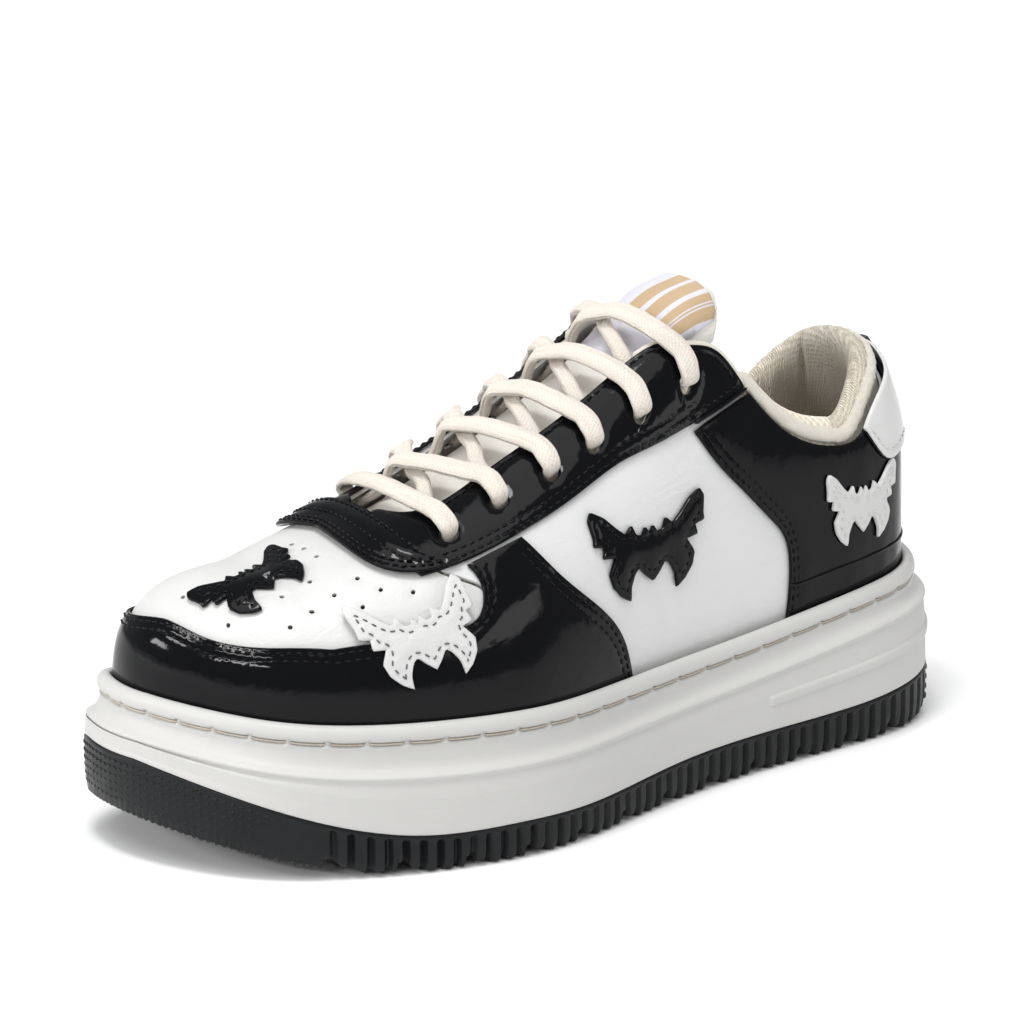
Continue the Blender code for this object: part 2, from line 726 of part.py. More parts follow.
# ------------------------------------------------------------------ stiffeners and lining
puff_in = bend([(50, -92), (42, -112), (20, -127), (0, -130)])
panel("toe_puff", "stiffener", [
    rim_path(1.06, 0.0, -1, 0.955, 16)[:-1] + rim_path(0.0, 1.06, 1, 0.955, 16),
    [rim(1.06, 1, 0.955), (50, -92)],
    puff_in + inner_side(puff_in[:-1])[::-1],
    [inner_side([(50, -92)])[0], rim(1.06, -1, 0.955)],
], STIFF_TOP, STIFF_SKIN)

def pad_line(t):
    """Top edge of the collar as (ray, distance out from the ridge)."""
    ts = (1.815, 1.86, 1.92, 2.0, 2.12, 2.3, 2.5, 2.75, 3.0)
    rs = (65.0, 72.5, 78.2, 80.2, 79.0, 74.0, 69.5, 66.0, 64.5)
    return float(cubic(t, ts, rs))


def pad_point(t, side, down):
    g = rim(t, 1, 1.0)
    full = math.hypot(g[0], g[1] - HEEL_PIVOT) if t > 2 else g[0]
    return rim(t, side, (pad_line(t) + down) / full)


COUNTER_T = ray_of(62)
counter_top = [pad_point(t, 1, 18.5) for t in np.linspace(COUNTER_T, 3.0, 18)]
panel("heel_counter", "stiffener", [
    rim_path(COUNTER_T, 3.0, 1, 0.955, 20)[:-1] + rim_path(3.0, COUNTER_T, -1, 0.955, 20),
    [rim(COUNTER_T, -1, 0.955), pad_point(COUNTER_T, -1, 18.5)],
    [pad_point(t, -1, 18.5) for t in np.linspace(COUNTER_T, 3.0, 18)[:-1]] + counter_top[::-1],
    [counter_top[0], rim(COUNTER_T, 1, 0.955)],
], STIFF_TOP, STIFF_SKIN)

lining_in = bend([(0, -70), (30, -68), (43, -54), (46, -34), (51, -15), (55.5, 1), (61, 18), (68, 34),
                  (78, 46), (90, 62), (100, 80), (103, 95)])
lining_in += bend([rim(2.12, 1, 0.90), rim(2.5, 1, 0.875), rim(2.8, 1, 0.865), rim(3.0, 1, 0.86)])
lining_hole = lining_in[:-1] + inner_side(lining_in[1:])[::-1]
lining_rim = rim_path(0.0, 3.0, 1, 0.965, 90)[:-1] + rim_path(3.0, 0.0, -1, 0.965, 90)
panel("lining", "knit_cream", [lining_rim], LINING_TOP, 0.8,
      [ring_of([lining_hole + lining_hole[:1]], 8.5)], step=9.5, lattice=12.0)


PAD_PROFILE = ((-3.3, 16), (-3.3, 3), (-2.9, -2.6), (-4.6, -5.2), (-7.6, -5.4), (-10.2, -2.0),
               (-10.6, 6), (-8.6, 12), (-5.6, 16.5))
pad_stops = [(t, 1) for t in np.linspace(1.815, 3.0, 17)]
pad_stops += [(t, -1) for t in np.linspace(3.0, 1.815, 17)[1:]]
pad_verts = []
for t, side in pad_stops:
    share = min(1.0, 0.45 + 6.0 * (t - 1.815))
    for off, down in PAD_PROFILE:
        px, py = pad_point(t, side, down * (share if down > 0 else 1.0))
        pad_verts.append(lifted(px, py, off * 0.6 - 1.4 + (off * 0.4 + 1.4) * share))
m = len(PAD_PROFILE)
pad_faces = []
for k in range(len(pad_stops) - 1):
    for i in range(m):
        j = (i + 1) % m
        pad_faces.append((k * m + i, (k + 1) * m + i, (k + 1) * m + j, k * m + j))
pad_faces.append(tuple(range(m)))
pad_faces.append(tuple((len(pad_stops) - 1) * m + i for i in reversed(range(m))))
finish("collar_padding", "knit_cream", pad_verts, pad_faces)


# ------------------------------------------------------------------ tongue
def tongue_offset(x, yy):
    rise = np.clip((yy - 22) / 26, 0, 1)
    rise = rise * rise * (3 - 2 * rise)
    arch = np.clip(1 - (np.abs(x) / 33) ** 2, 0, 1)
    return TONGUE_TOP + 6.5 * rise * arch


def tongue_half(yy):
    return float(cubic(yy, (-66, -40, 0, 37), (17, 27, 36, 46)))


low_cut = TONGUE_CUT
lower_y = np.linspace(-66, low_cut, 16)
panel("tongue", "leather_white", [
    [(tongue_half(v), v) for v in lower_y],
    [(tongue_half(low_cut), low_cut), (-tongue_half(low_cut), low_cut)],
    [(-tongue_half(v), v) for v in lower_y[::-1]],
    [(-tongue_half(-66), -66), (tongue_half(-66), -66)],
], TONGUE_TOP, TONGUE_SKIN, lattice=9.0, shape=tongue_offset)

flap_low = TONGUE_CUT + TONGUE_GAP
flap_side = bend([(39.5, flap_low), (42.5, 46), (37, 52), (21, 55.5), (0, 56.5)])
panel("tongue_flap", "leather_white", [
    [(-39.5, flap_low), (39.5, flap_low)],
    flap_side + [(-a, b) for a, b in flap_side[:-1]][::-1],
], TONGUE_TOP, TONGUE_SKIN, lattice=6.0, shape=tongue_offset)


def label_offset(x, yy):
    return tongue_offset(x, yy) + 1.1


panel("tongue_label", "label_tan", [
    [(-19, flap_low + 2.0), (19, flap_low + 2.0)],
    [(19, flap_low + 2.0), (17, 50)],
    [(17, 50), (-17, 50)],
    [(-17, 50), (-19, flap_low + 2.0)],
], 0.0, 0.7, lattice=6.0, shape=label_offset)


# ------------------------------------------------------------------ butterfly patches
def solve(target, axes, guess):
    """Pattern point whose place on the form matches two coordinates."""
    g = np.array(guess, float)
    want = np.array(target, float)
    for step in range(25):
        p = form(g[0], g[1])[list(axes)]
        jx = (form(g[0] + 0.2, g[1])[list(axes)] - p) / 0.2
        jy = (form(g[0], g[1] + 0.2)[list(axes)] - p) / 0.2
        move = np.linalg.lstsq(np.column_stack([jx, jy]), want - p, rcond=None)[0]
        size = np.linalg.norm(move)
        g += move * min(1.0, 6.0 / max(size, 1e-9))
        if size < 1e-3:
            break
    return (float(g[0]), float(g[1]))


# right half of one jagged butterfly, span 1 to each side, head up
WING = ((0.0, 0.26), (0.07, 0.40), (0.15, 0.26), (0.25, 0.40), (0.33, 0.30), (0.60, 0.44), (0.95, 0.74),
        (1.0, 0.44), (0.91, 0.26), (0.95, 0.0), (0.76, -0.02), (0.74, -0.26), (0.60, -0.26),
        (0.60, -0.62), (0.42, -0.86), (0.27, -0.44), (0.15, -0.40), (0.0, -0.66))


def butterfly(centre, half_span, turn, axes, guess, tall=1.0):
    """Generic butterfly laid on the upper, drawn in two of the shoe's own axes."""
    pts = list(WING) + [(-a, b) for a, b in WING[1:-1]][::-1]
    c = math.cos(math.radians(turn))
    s = math.sin(math.radians(turn))
    out = []
    for a, b in pts:
        b = b * tall
        u = centre[0] + half_span * (a * c - b * s)
        v = centre[1] + half_span * (a * s + b * c)
        out.append(solve((u, v), axes, guess))
    return out


def patch(name, look, outline, top):
    runs = [[outline[i], outline[(i + 1) % len(outline)]] for i in range(len(outline))]
    return panel(name, look, runs, top, 0.9, step=7.0, lattice=LATTICE)


on_wall = (1, 2)
on_top = (0, 1)
patch("butterfly_toe", "patent_black", butterfly((0.5, -105), 16, 90, on_top, (6, -105), 0.85), BASE_TOP + 1.45)
patch("butterfly_vamp", "leather_white", butterfly((-73, 64.5), 19, 8, on_wall, (55, -72), 0.85),
      OVERLAY_TOP + 1.45)
patch("butterfly_quarter", "patent_black", butterfly((13, 79), 23, 0, on_wall, (76, 12), 0.85),
      BASE_TOP + 1.45)
patch("butterfly_heel", "patent_white", butterfly((100, 77), 15.5, 0, on_wall, (88, 108)),
      OVERLAY_TOP + 1.45)


# ------------------------------------------------------------------ lace
def edge_x(yy):
    return float(cubic(yy, (-57, -50, -36, -15, 1, 18, 27, 36), (17, 21, 22.5, 25.5, 28.5, 31.5, 34.5, 43)))


def at(side, x, yy, off):
    """A lace point: pattern position on one side, with its height off the foot form."""
    if side < 0:
        x, yy = inner_side([(x, yy)])[0]
    return (x, yy, off)


def through(side, k, down):
    """Round the edge of an eyelet from outside to inside, or back."""
    x, yy = EYELETS[k]
    run = [
        at(side, x - 8.0, yy, 2.3),
        at(side, x - 3.8, yy, 2.7),
        at(side, x - 0.3, yy, 1.6),
        at(side, x, yy, -1.35),
        at(side, x - 0.4, yy, -4.0),
        at(side, x - 3.6, yy, -4.95),
        at(side, x - 7.0, yy + 0.6, -4.95),
    ]
    return run if down else run[::-1]


def strand(side, k, top):
    """From under eyelet k on one side, over the tongue, to outside eyelet k+1 opposite."""
    x0, y0 = EYELETS[k]
    x1, y1 = EYELETS[k + 1]
    ymid = (y0 + y1) / 2
    high = 2.9 if top else -1.6
    e0 = edge_x(y0 + 2)
    e1 = edge_x(y1 - 3)
    return [
        at(side, e0 + 1.0, y0 + 2.2, -4.8),
        at(side, e0 - 7.5, y0 + 3.8, -3.6 if not top else -2.6),
        at(side, 8.0, ymid - 2.0, high - 0.1),
        (0.0, ymid, high),
        at(-side, 8.0, ymid + 2.0, high + (0.1 if top else 0.9)),
        at(-side, e1 - 2.0, y1 - 3.0, 2.5),
    ]


def run_from(side):
    pts = []
    here = side
    for k in range(5):
        pts += strand(here, k, here < 0)
        here = -here
        pts += through(here, k + 1, True)
    x, yy = EYELETS[5]
    return pts + [at(here, x - 10.5, yy - 0.6, -5.2), at(here, x - 14, yy - 2.4, -5.6)]


first = run_from(1)
second = run_from(-1)
bar = through(-1, 0, False)[::-1]
bar = [p for p in bar]
bottom = [at(-1, 18, EYELETS[0][1] - 1.5, 2.2), (0.0, EYELETS[0][1] - 2.0, 2.0),
          at(1, 18, EYELETS[0][1] - 1.5, 2.2)]
lace_pattern = second[::-1] + through(-1, 0, False) + bottom + through(1, 0, True) + first


def smooth_path(points, spacing):
    p = np.asarray(points, float)
    t = np.concatenate([[0], np.cumsum(np.linalg.norm(np.diff(p, axis=0), axis=1) ** 0.7)])
    fine = np.linspace(0, t[-1], 4000)
    q = np.column_stack([cubic(fine, t, p[:, i]) for i in range(3)])
    d = np.gradient(q, axis=0)
    d /= np.linalg.norm(d, axis=1)[:, None]
    turn = np.linalg.norm(np.gradient(d, axis=0), axis=1)
    gap = np.linalg.norm(np.diff(q, axis=0), axis=1)
    cost = np.concatenate([[0], np.cumsum(gap / spacing + 2.2 * 0.5 * (turn[1:] + turn[:-1]))])
    n = int(round(cost[-1]))
    s = np.interp(np.linspace(0, cost[-1], n + 1), cost, fine)
    return np.column_stack([cubic(s, t, p[:, i]) for i in range(3)])


def tube(name, look, pattern_points, sides):
    pat = np.asarray(pattern_points, float)
    core = lifted(pat[:, 0], pat[:, 1], pat[:, 2])
    skin_up = lifted(pat[:, 0], pat[:, 1], pat[:, 2] + 1.0) - core
    holes = np.array([min(abs(a - (b - 0.3)) for a, b in [(p[2], -1.05)]) for p in pat])
    t = np.concatenate([[0], np.cumsum(np.linalg.norm(np.diff(core, axis=0), axis=1) ** 0.7)])
    fine = smooth_path(core, 12.0)
    # parameter of each fine ring along the control points
    ft = np.array([t[np.linalg.norm(core - f, axis=1).argmin()] for f in fine])
    ft = np.maximum.accumulate(ft)
    up = np.column_stack([np.interp(ft, t, skin_up[:, i]) for i in range(3)])
    tight = np.interp(ft, t, np.clip((holes - 2.7) / 1.3, 0, 1))
    d = np.gradient(fine, axis=0)
    d /= np.linalg.norm(d, axis=1)[:, None]
    verts = []
    prev = None
    for f, dd, uu, g in zip(fine, d, up, tight):
        side = np.cross(dd, uu)
        if np.linalg.norm(side) < 0.35 and prev is not None:
            side = prev
        side = side - dd * (side @ dd)
        side /= np.linalg.norm(side)
        if prev is not None and side @ prev < 0:
            side = -side
        prev = side
        lift = np.cross(side, dd)
        wide = 1.45 + (LACE_HALF_WIDE - 1.45) * g
        for a in np.arange(sides) * 2 * PI / sides + PI / sides:
            verts.append(f + side * wide * math.cos(a) + lift * LACE_HALF_THICK * math.sin(a))
    faces = []
    n = sides
    for k in range(len(fine) - 1):
        for i in range(n):
            j = (i + 1) % n
            faces.append((k * n + i, k * n + j, (k + 1) * n + j, (k + 1) * n + i))
    faces.append(tuple(reversed(range(n))))
    faces.append(tuple((len(fine) - 1) * n + i for i in range(n)))
    return finish(name, look, verts, faces)


tube("lace", "lace_cream", lace_pattern, 6)

# every closed mesh faces outward
for obj in PARTS.objects:
    if any(mod.type == "SOLIDIFY" for mod in obj.modifiers):
        continue
    co = np.array([v.co[:] for v in obj.data.vertices])
    vol = 0.0
    for poly in obj.data.polygons:
        ids = list(poly.vertices)
        for i in range(1, len(ids) - 1):
            vol += float(np.dot(co[ids[0]], np.cross(co[ids[i]], co[ids[i + 1]])))
    if vol < 0:
        obj.data.flip_normals()
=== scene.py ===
"""Looks for the cheer shoe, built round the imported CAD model.

Frame as in the CAD: toe toward -Y, heel toward +Y, outer side of the foot toward +X, ground at Z = 0.
Working units are millimetres; piece() turns them into metres. The upper is drawn as flat pattern
pieces laid over one foot form: pattern X runs from the ridge of the instep out and down to the sole,
pattern Y runs from toe to heel.
"""

import math

import bpy
import numpy as np
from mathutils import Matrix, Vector
from mathutils.geometry import delaunay_2d_cdt


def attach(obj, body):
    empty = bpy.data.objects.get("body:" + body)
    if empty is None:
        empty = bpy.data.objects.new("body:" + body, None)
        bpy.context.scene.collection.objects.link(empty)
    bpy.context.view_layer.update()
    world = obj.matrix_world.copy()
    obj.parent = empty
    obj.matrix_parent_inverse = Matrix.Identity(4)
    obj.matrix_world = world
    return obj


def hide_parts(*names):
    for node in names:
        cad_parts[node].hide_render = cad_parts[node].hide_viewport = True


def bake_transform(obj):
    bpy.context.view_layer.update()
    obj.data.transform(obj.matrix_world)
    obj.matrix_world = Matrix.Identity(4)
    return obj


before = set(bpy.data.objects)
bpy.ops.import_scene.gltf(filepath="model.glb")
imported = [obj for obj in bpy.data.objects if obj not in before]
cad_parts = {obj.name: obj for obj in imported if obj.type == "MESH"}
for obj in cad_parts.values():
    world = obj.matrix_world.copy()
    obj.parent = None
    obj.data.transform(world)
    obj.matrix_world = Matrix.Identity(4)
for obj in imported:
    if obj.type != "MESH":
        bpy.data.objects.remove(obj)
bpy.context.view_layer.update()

MM = 0.001
PI = math.pi

# ------------------------------------------------------------------ driving dimensions (mm)
SOLE_LENGTH = 285.0
SHIFT = (-3.99, 0.79, 0.0)      # the CAD's own move onto the origin
TOE_PIVOT = -98.0               # the pattern fans out round the toe from here
HEEL_PIVOT = 92.0               # and round the heel from here
FOXING_INSET = -8.6             # upper stands this far inside the widest sole outline
UPPER_SINK = 6.0                # upper runs this far down inside the cup
SKIN = 1.1                      # leather and patent thickness
OVERLAY_TOP = 0.0               # offsets of each layer's outer face from the foot form
BASE_TOP = -1.6
LINING_TOP = -4.5
TRIM_TOP = 1.55
TONGUE_TOP = -7.0
EYELET_RADIUS = 3.3
LUG_PITCH = 19.5
LUG_DEPTH = 2.6
FLUTE_PITCH = LUG_PITCH / 4
SIDEWALL_STITCH = 12.0
HEM = 0.985                     # panels end at this share of the full girth, down inside the cup
EYELET_SEAT = -1.35             # height of the lace where it passes through the leather
WAVE = 2 * PI / 20.0            # scale at which Blender's wave texture repeats once a unit

# widest sole outline: distance from the toe, outer side, inner side
OUTLINE = (
    (5, 8, -40),
    (20, 30.5, -48),
    (45, 47, -52),
    (75, 57.5, -52.5),
    (105, 60.5, -51),
    (135, 54.5, -48),
    (165, 47.5, -45),
    (195, 43.8, -42.5),
    (225, 42.3, -41),
    (252, 40, -38),
    (273, 30, -28),
)
TOE_TIP = (-16.0, -1.5)

# heights along the shoe: stations from the toe, then values
STATIONS = (0, 30, 60, 90, 120, 160, 200, 240, 285)
FOXING_Z = (49.5, 45.5, 43.8, 43.0, 42.0, 41.5, 43.5, 48.0, 52.0)
LEDGE_Z = (37.8, 32.0, 29.4, 28.6, 28.4, 28.6, 31.0, 36.0, 41.0)
OUTSOLE_Z = (31.5, 19.0, 11.8, 11.3, 10.9, 12.2, 12.6, 13.4, 18.0)

# foot form along the shoe: stations in Y, ridge height, fullness, ridge position across
RIDGE_Y = (-98, -75, -50, -25, 0, 20, 33, 45, 70, 92)
RIDGE_Z = (82.5, 90, 98.5, 109.5, 122, 133, 140.5, 146, 150, 151)
FULL_Y = (-98, -50, 0, 33, 92)
FULLNESS = (2.75, 2.35, 2.45, 2.9, 3.2)
CENTRE_Y = (-98, -50, 0, 45, 92)
CENTRE_X = (-9, -6, -5, -3, 0)

EYELETS = ((33.3, -52.0), (34.8, -33.5), (39.8, -15.2), (44.0, 0.8), (49.6, 18.0), (55.4, 35.4))

# photograph's viewing angle
VIEW_AZIMUTH = 53.0
VIEW_ELEVATION = 17.0
VIEW_DISTANCE = 1.4
VIEW_TARGET = (-0.00399, 0.00079, 0.060)
VIEW_LENS = 162.4
VIEW_SHIFT = (-0.0269, 0.0684)


def cubic(at, knots, values):
    """Natural cubic through the knots, held flat outside them."""
    at = np.asarray(at, float)
    ks = np.asarray(knots, float)
    vs = np.asarray(values, float)
    m = len(ks)
    h = np.diff(ks)
    a = np.eye(m)
    b = np.zeros(m)
    for i in range(1, m - 1):
        a[i, i - 1] = h[i - 1]
        a[i, i] = 2 * (h[i - 1] + h[i])
        a[i, i + 1] = h[i]
        b[i] = 6 * ((vs[i + 1] - vs[i]) / h[i] - (vs[i] - vs[i - 1]) / h[i - 1])
    bend = np.linalg.solve(a, b)
    at = np.clip(at, ks[0], ks[-1])
    k = np.clip(np.searchsorted(ks, at, side="right") - 1, 0, m - 2)
    x = at - ks[k]
    w = h[k]
    r = w - x
    one = bend[k] * r ** 3 / (6 * w) + bend[k + 1] * x ** 3 / (6 * w)
    two = (vs[k] / w - bend[k] * w / 6) * r + (vs[k + 1] / w - bend[k + 1] * w / 6) * x
    return one + two


def closed_spline(points, count):
    """Smooth closed curve through the points, sampled count times."""
    p = np.asarray(points, float)
    m = len(p)
    step = np.hypot(*(np.roll(p, -1, axis=0) - p).T) ** 0.6
    t = np.concatenate([[0], np.cumsum(step)])
    h = np.diff(t)
    a = np.zeros((m, m))
    b = np.zeros((m, 2))
    for i in range(m):
        j = (i + 1) % m
        a[i, i - 1] += h[i - 1]
        a[i, i] += 2 * (h[i - 1] + h[i])
        a[i, j] += h[i]
        b[i] = 6 * ((p[j] - p[i]) / h[i] - (p[i] - p[i - 1]) / h[i - 1])
    bend = np.linalg.solve(a, b)
    s = np.linspace(0, t[-1], count, endpoint=False)
    k = np.clip(np.searchsorted(t, s, side="right") - 1, 0, m - 1)
    x = (s - t[k])[:, None]
    w = h[k][:, None]
    r = w - x
    q = p[(k + 1) % m]
    c = bend[(k + 1) % m]
    out = bend[k] * r ** 3 / (6 * w) + c * x ** 3 / (6 * w)
    return out + (p[k] / w - bend[k] * w / 6) * r + (q / w - c * w / 6) * x


def walked(points):
    """Distance walked along a run at each of its points."""
    return np.concatenate([[0], np.cumsum(np.linalg.norm(np.diff(points, axis=0), axis=1))])


def picked(points, t, at):
    """Points of a run at the given distances along it."""
    return np.column_stack([np.interp(at, t, points[:, i]) for i in range(points.shape[1])])


def even(points, count):
    """Closed curve re-spaced evenly."""
    p = np.vstack([points, points[:1]])
    t = walked(p)
    return picked(p, t, np.linspace(0, t[-1], count, endpoint=False))


def sole_outline(count=720):
    pts = [TOE_TIP]
    pts += [(outer, s) for s, outer, inner in OUTLINE]
    pts += [(0.0, SOLE_LENGTH)]
    pts += [(inner, s) for s, outer, inner in OUTLINE[::-1]]
    q = closed_spline(pts, count)
    q[:, 1] -= SOLE_LENGTH / 2
    return q


def grown(curve, by):
    """Closed curve moved outward in small steps, kept evenly spaced."""
    steps = max(1, int(math.ceil(abs(by) / 1.5)))
    for _ in range(steps):
        d = np.roll(curve, -2, axis=0) - np.roll(curve, 2, axis=0)
        d /= np.linalg.norm(d, axis=1)[:, None]
        curve = even(curve + np.column_stack([d[:, 1], -d[:, 0]]) * (by / steps), 360)
    return curve


def along(y, values):
    return cubic(np.asarray(y) + SOLE_LENGTH / 2, STATIONS, values)


# ------------------------------------------------------------------ foot form
FOOT = grown(sole_outline(), FOXING_INSET)


def polar(centre, curve):
    th = np.arctan2(curve[:, 0] - centre[0], centre[1] - curve[:, 1])
    o = np.argsort(th)
    th = th[o]
    r = np.hypot(curve[:, 0] - centre[0], curve[:, 1] - centre[1])[o]
    turns = np.concatenate([th[-3:] - 2 * PI, th, th[:3] + 2 * PI])
    return turns, np.concatenate([r[-3:], r, r[:3]])


def side_edge(curve, outer):
    n = len(curve)
    i0 = int(curve[:, 1].argmin())
    i1 = int(curve[:, 1].argmax())
    if i1 < i0:
        i1 += n
    a = curve[np.arange(i0, i1 + 1) % n]
    b = curve[np.arange(i1, i0 + n + 1) % n][::-1]
    if (a[:, 0].mean() > b[:, 0].mean()) != outer:
        a = b
    return a[:, 1], a[:, 0]


TOE_FAN = polar((float(cubic(TOE_PIVOT, CENTRE_Y, CENTRE_X)), TOE_PIVOT), FOOT)
HEEL_FAN = polar((float(cubic(HEEL_PIVOT, CENTRE_Y, CENTRE_X)), HEEL_PIVOT), FOOT)
OUTER_EDGE = side_edge(FOOT, True)
INNER_EDGE = side_edge(FOOT, False)


def section(x, y):
    """Size of the foot-form section that a pattern point lies on."""
    st = np.clip(y, TOE_PIVOT, HEEL_PIVOT)
    toe = y < TOE_PIVOT
    heel = y > HEEL_PIVOT
    rad = np.where(toe, np.hypot(x, y - TOE_PIVOT), np.abs(x))
    rad = np.where(heel, np.hypot(x, y - HEEL_PIVOT), rad)
    th = np.where(x >= 0, PI / 2, -PI / 2)
    th = np.where(toe, np.arctan2(x, TOE_PIVOT - y), th)
    th = np.where(heel, np.arctan2(x, HEEL_PIVOT - y), th)
    c = cubic(st, CENTRE_Y, CENTRE_X)
    w = np.where(x >= 0, np.interp(st, *OUTER_EDGE) - c, c - np.interp(st, *INNER_EDGE))
    w = np.where(toe, np.interp(th, *TOE_FAN), w)
    w = np.where(heel, np.interp(th, *HEEL_FAN), w)
    foot_y = np.where(toe | heel, st - w * np.cos(th), st)
    low = along(foot_y, FOXING_Z) - UPPER_SINK
    tall = cubic(st, RIDGE_Y, RIDGE_Z) - low
    return st, rad, th, c, w, low, tall, toe | heel


def girth(w, tall):
    return 0.8 * (w + tall)


def form(x, y):
    """Pattern point -> point on the foot form."""
    x = np.asarray(x, float)
    y = np.asarray(y, float)
    st, rad, th, c, w, low, tall, fan = section(x, y)
    n = cubic(st, FULL_Y, FULLNESS)
    psi = rad / girth(w, tall) * PI / 2
    s = np.sin(psi)
    k = np.cos(psi)
    r = (np.abs(s) ** n + np.abs(k) ** n) ** (-1 / n)
    rho = w * r * s
    z = low + tall * r * k
    lean = np.clip((st - 30) / 62, 0, 1) * np.clip((z - 84) / 34, 0, 1.6) ** 2
    rho = rho - 8.0 * lean * np.clip(s, 0, 1) ** 2
    return np.stack([c + rho * np.sin(th), np.where(fan, st - rho * np.cos(th), st), z], -1)


def lifted(x, y, off):
    """Pattern point -> point at a given distance outside the foot form."""
    x = np.asarray(x, float)
    y = np.asarray(y, float)
    e = 0.6
    du = form(x + e, y) - form(x - e, y)
    dv = form(x, y + e) - form(x, y - e)
    n = np.cross(du, dv)
    n /= np.linalg.norm(n, axis=-1)[..., None] + 1e-12
    return form(x, y) + n * np.asarray(off, float)[..., None]


def reach(x, y):
    """A pattern point's distance out from the ridge, and the full girth on its ray."""
    _, rad, _, _, w, _, tall, _ = section(np.array([x]), np.array([y]))
    return float(rad[0]), float(girth(w, tall)[0])


def rim(t, side, share):
    """Pattern point on the ray t (0 toe, 1..2 flank, 3 heel) at a share of the full girth."""
    probe = 50.0
    nudge = 0.0
    if t < 1:
        pivot, nudge = TOE_PIVOT, -1e-6
        dx, dy = side * math.sin(t * PI / 2), -math.cos(t * PI / 2)
    elif t <= 2:
        pivot = TOE_PIVOT + (t - 1) * (HEEL_PIVOT - TOE_PIVOT)
        dx, dy = side, 0.0
    else:
        pivot, nudge = HEEL_PIVOT, 1e-6
        dx, dy = side * math.sin((3 - t) * PI / 2), math.cos((3 - t) * PI / 2)
    g = reach(probe * dx, pivot + probe * dy + nudge)[1] * share
    return (g * dx, pivot + g * dy)


def ray_of(y):
    return 1 + (y - TOE_PIVOT) / (HEEL_PIVOT - TOE_PIVOT)


def rim_path(t0, t1, side, share, count):
    return [rim(t, side, share) for t in np.linspace(t0, t1, count)]


def inner_side(points):
    """The same pattern laid on the inner side, keeping its height on the shoe."""
    out = []
    for x, y in points:
        rad, full = reach(x, y)
        if y < TOE_PIVOT:
            t = math.atan2(x, TOE_PIVOT - y) / (PI / 2)
        elif y > HEEL_PIVOT:
            t = 3 - math.atan2(x, y - HEEL_PIVOT) / (PI / 2)
        else:
            t = ray_of(y)
        out.append(rim(t, -1, rad / full))
    return out


def both(runs):
    """Runs of the outer side, laid on the inner side."""
    return [inner_side(run) for run in runs]


def across(run):
    """A half run that ends on the ridge, carried on down the inner side."""
    return run + inner_side(run[:-1])[::-1]


# ------------------------------------------------------------------ pattern outlines
def bend(points, per=6):
    """Smooth open run through the points."""
    p = np.asarray(points, float)
    if len(p) < 3:
        return [tuple(v) for v in p]
    t = walked(p)
    s = np.linspace(0, t[-1], per * (len(p) - 1) + 1)
    return list(zip(cubic(s, t, p[:, 0]), cubic(s, t, p[:, 1])))


def ring_of(runs, step):
    """Join runs into one closed outline, corners kept, spaced to the step."""
    out = []
    for run in runs:
        p = np.asarray(run, float)
        t = walked(p)
        n = max(1, int(round(t[-1] / step)))
        q = picked(p, t, np.linspace(0, t[-1], n + 1))
        if out and np.hypot(*(q[0] - out[-1])) < 0.05:
            q = q[1:]
        out.extend(list(q))
    if np.hypot(*(out[0] - out[-1])) < 0.05:
        out = out[:-1]
    return np.array(out)


def inside(pts, poly):
    """Which points lie inside a closed outline."""
    x = pts[:, 0]
    y = pts[:, 1]
    hit = np.zeros(len(pts), bool)
    for (x0, y0), (x1, y1) in zip(poly, np.roll(poly, -1, axis=0)):
        span = (y0 > y) != (y1 > y)
        cut = (x1 - x0) * (y - y0) / ((y1 - y0) if y1 != y0 else 1e-12) + x0
        hit ^= span & (x < cut)
    return hit


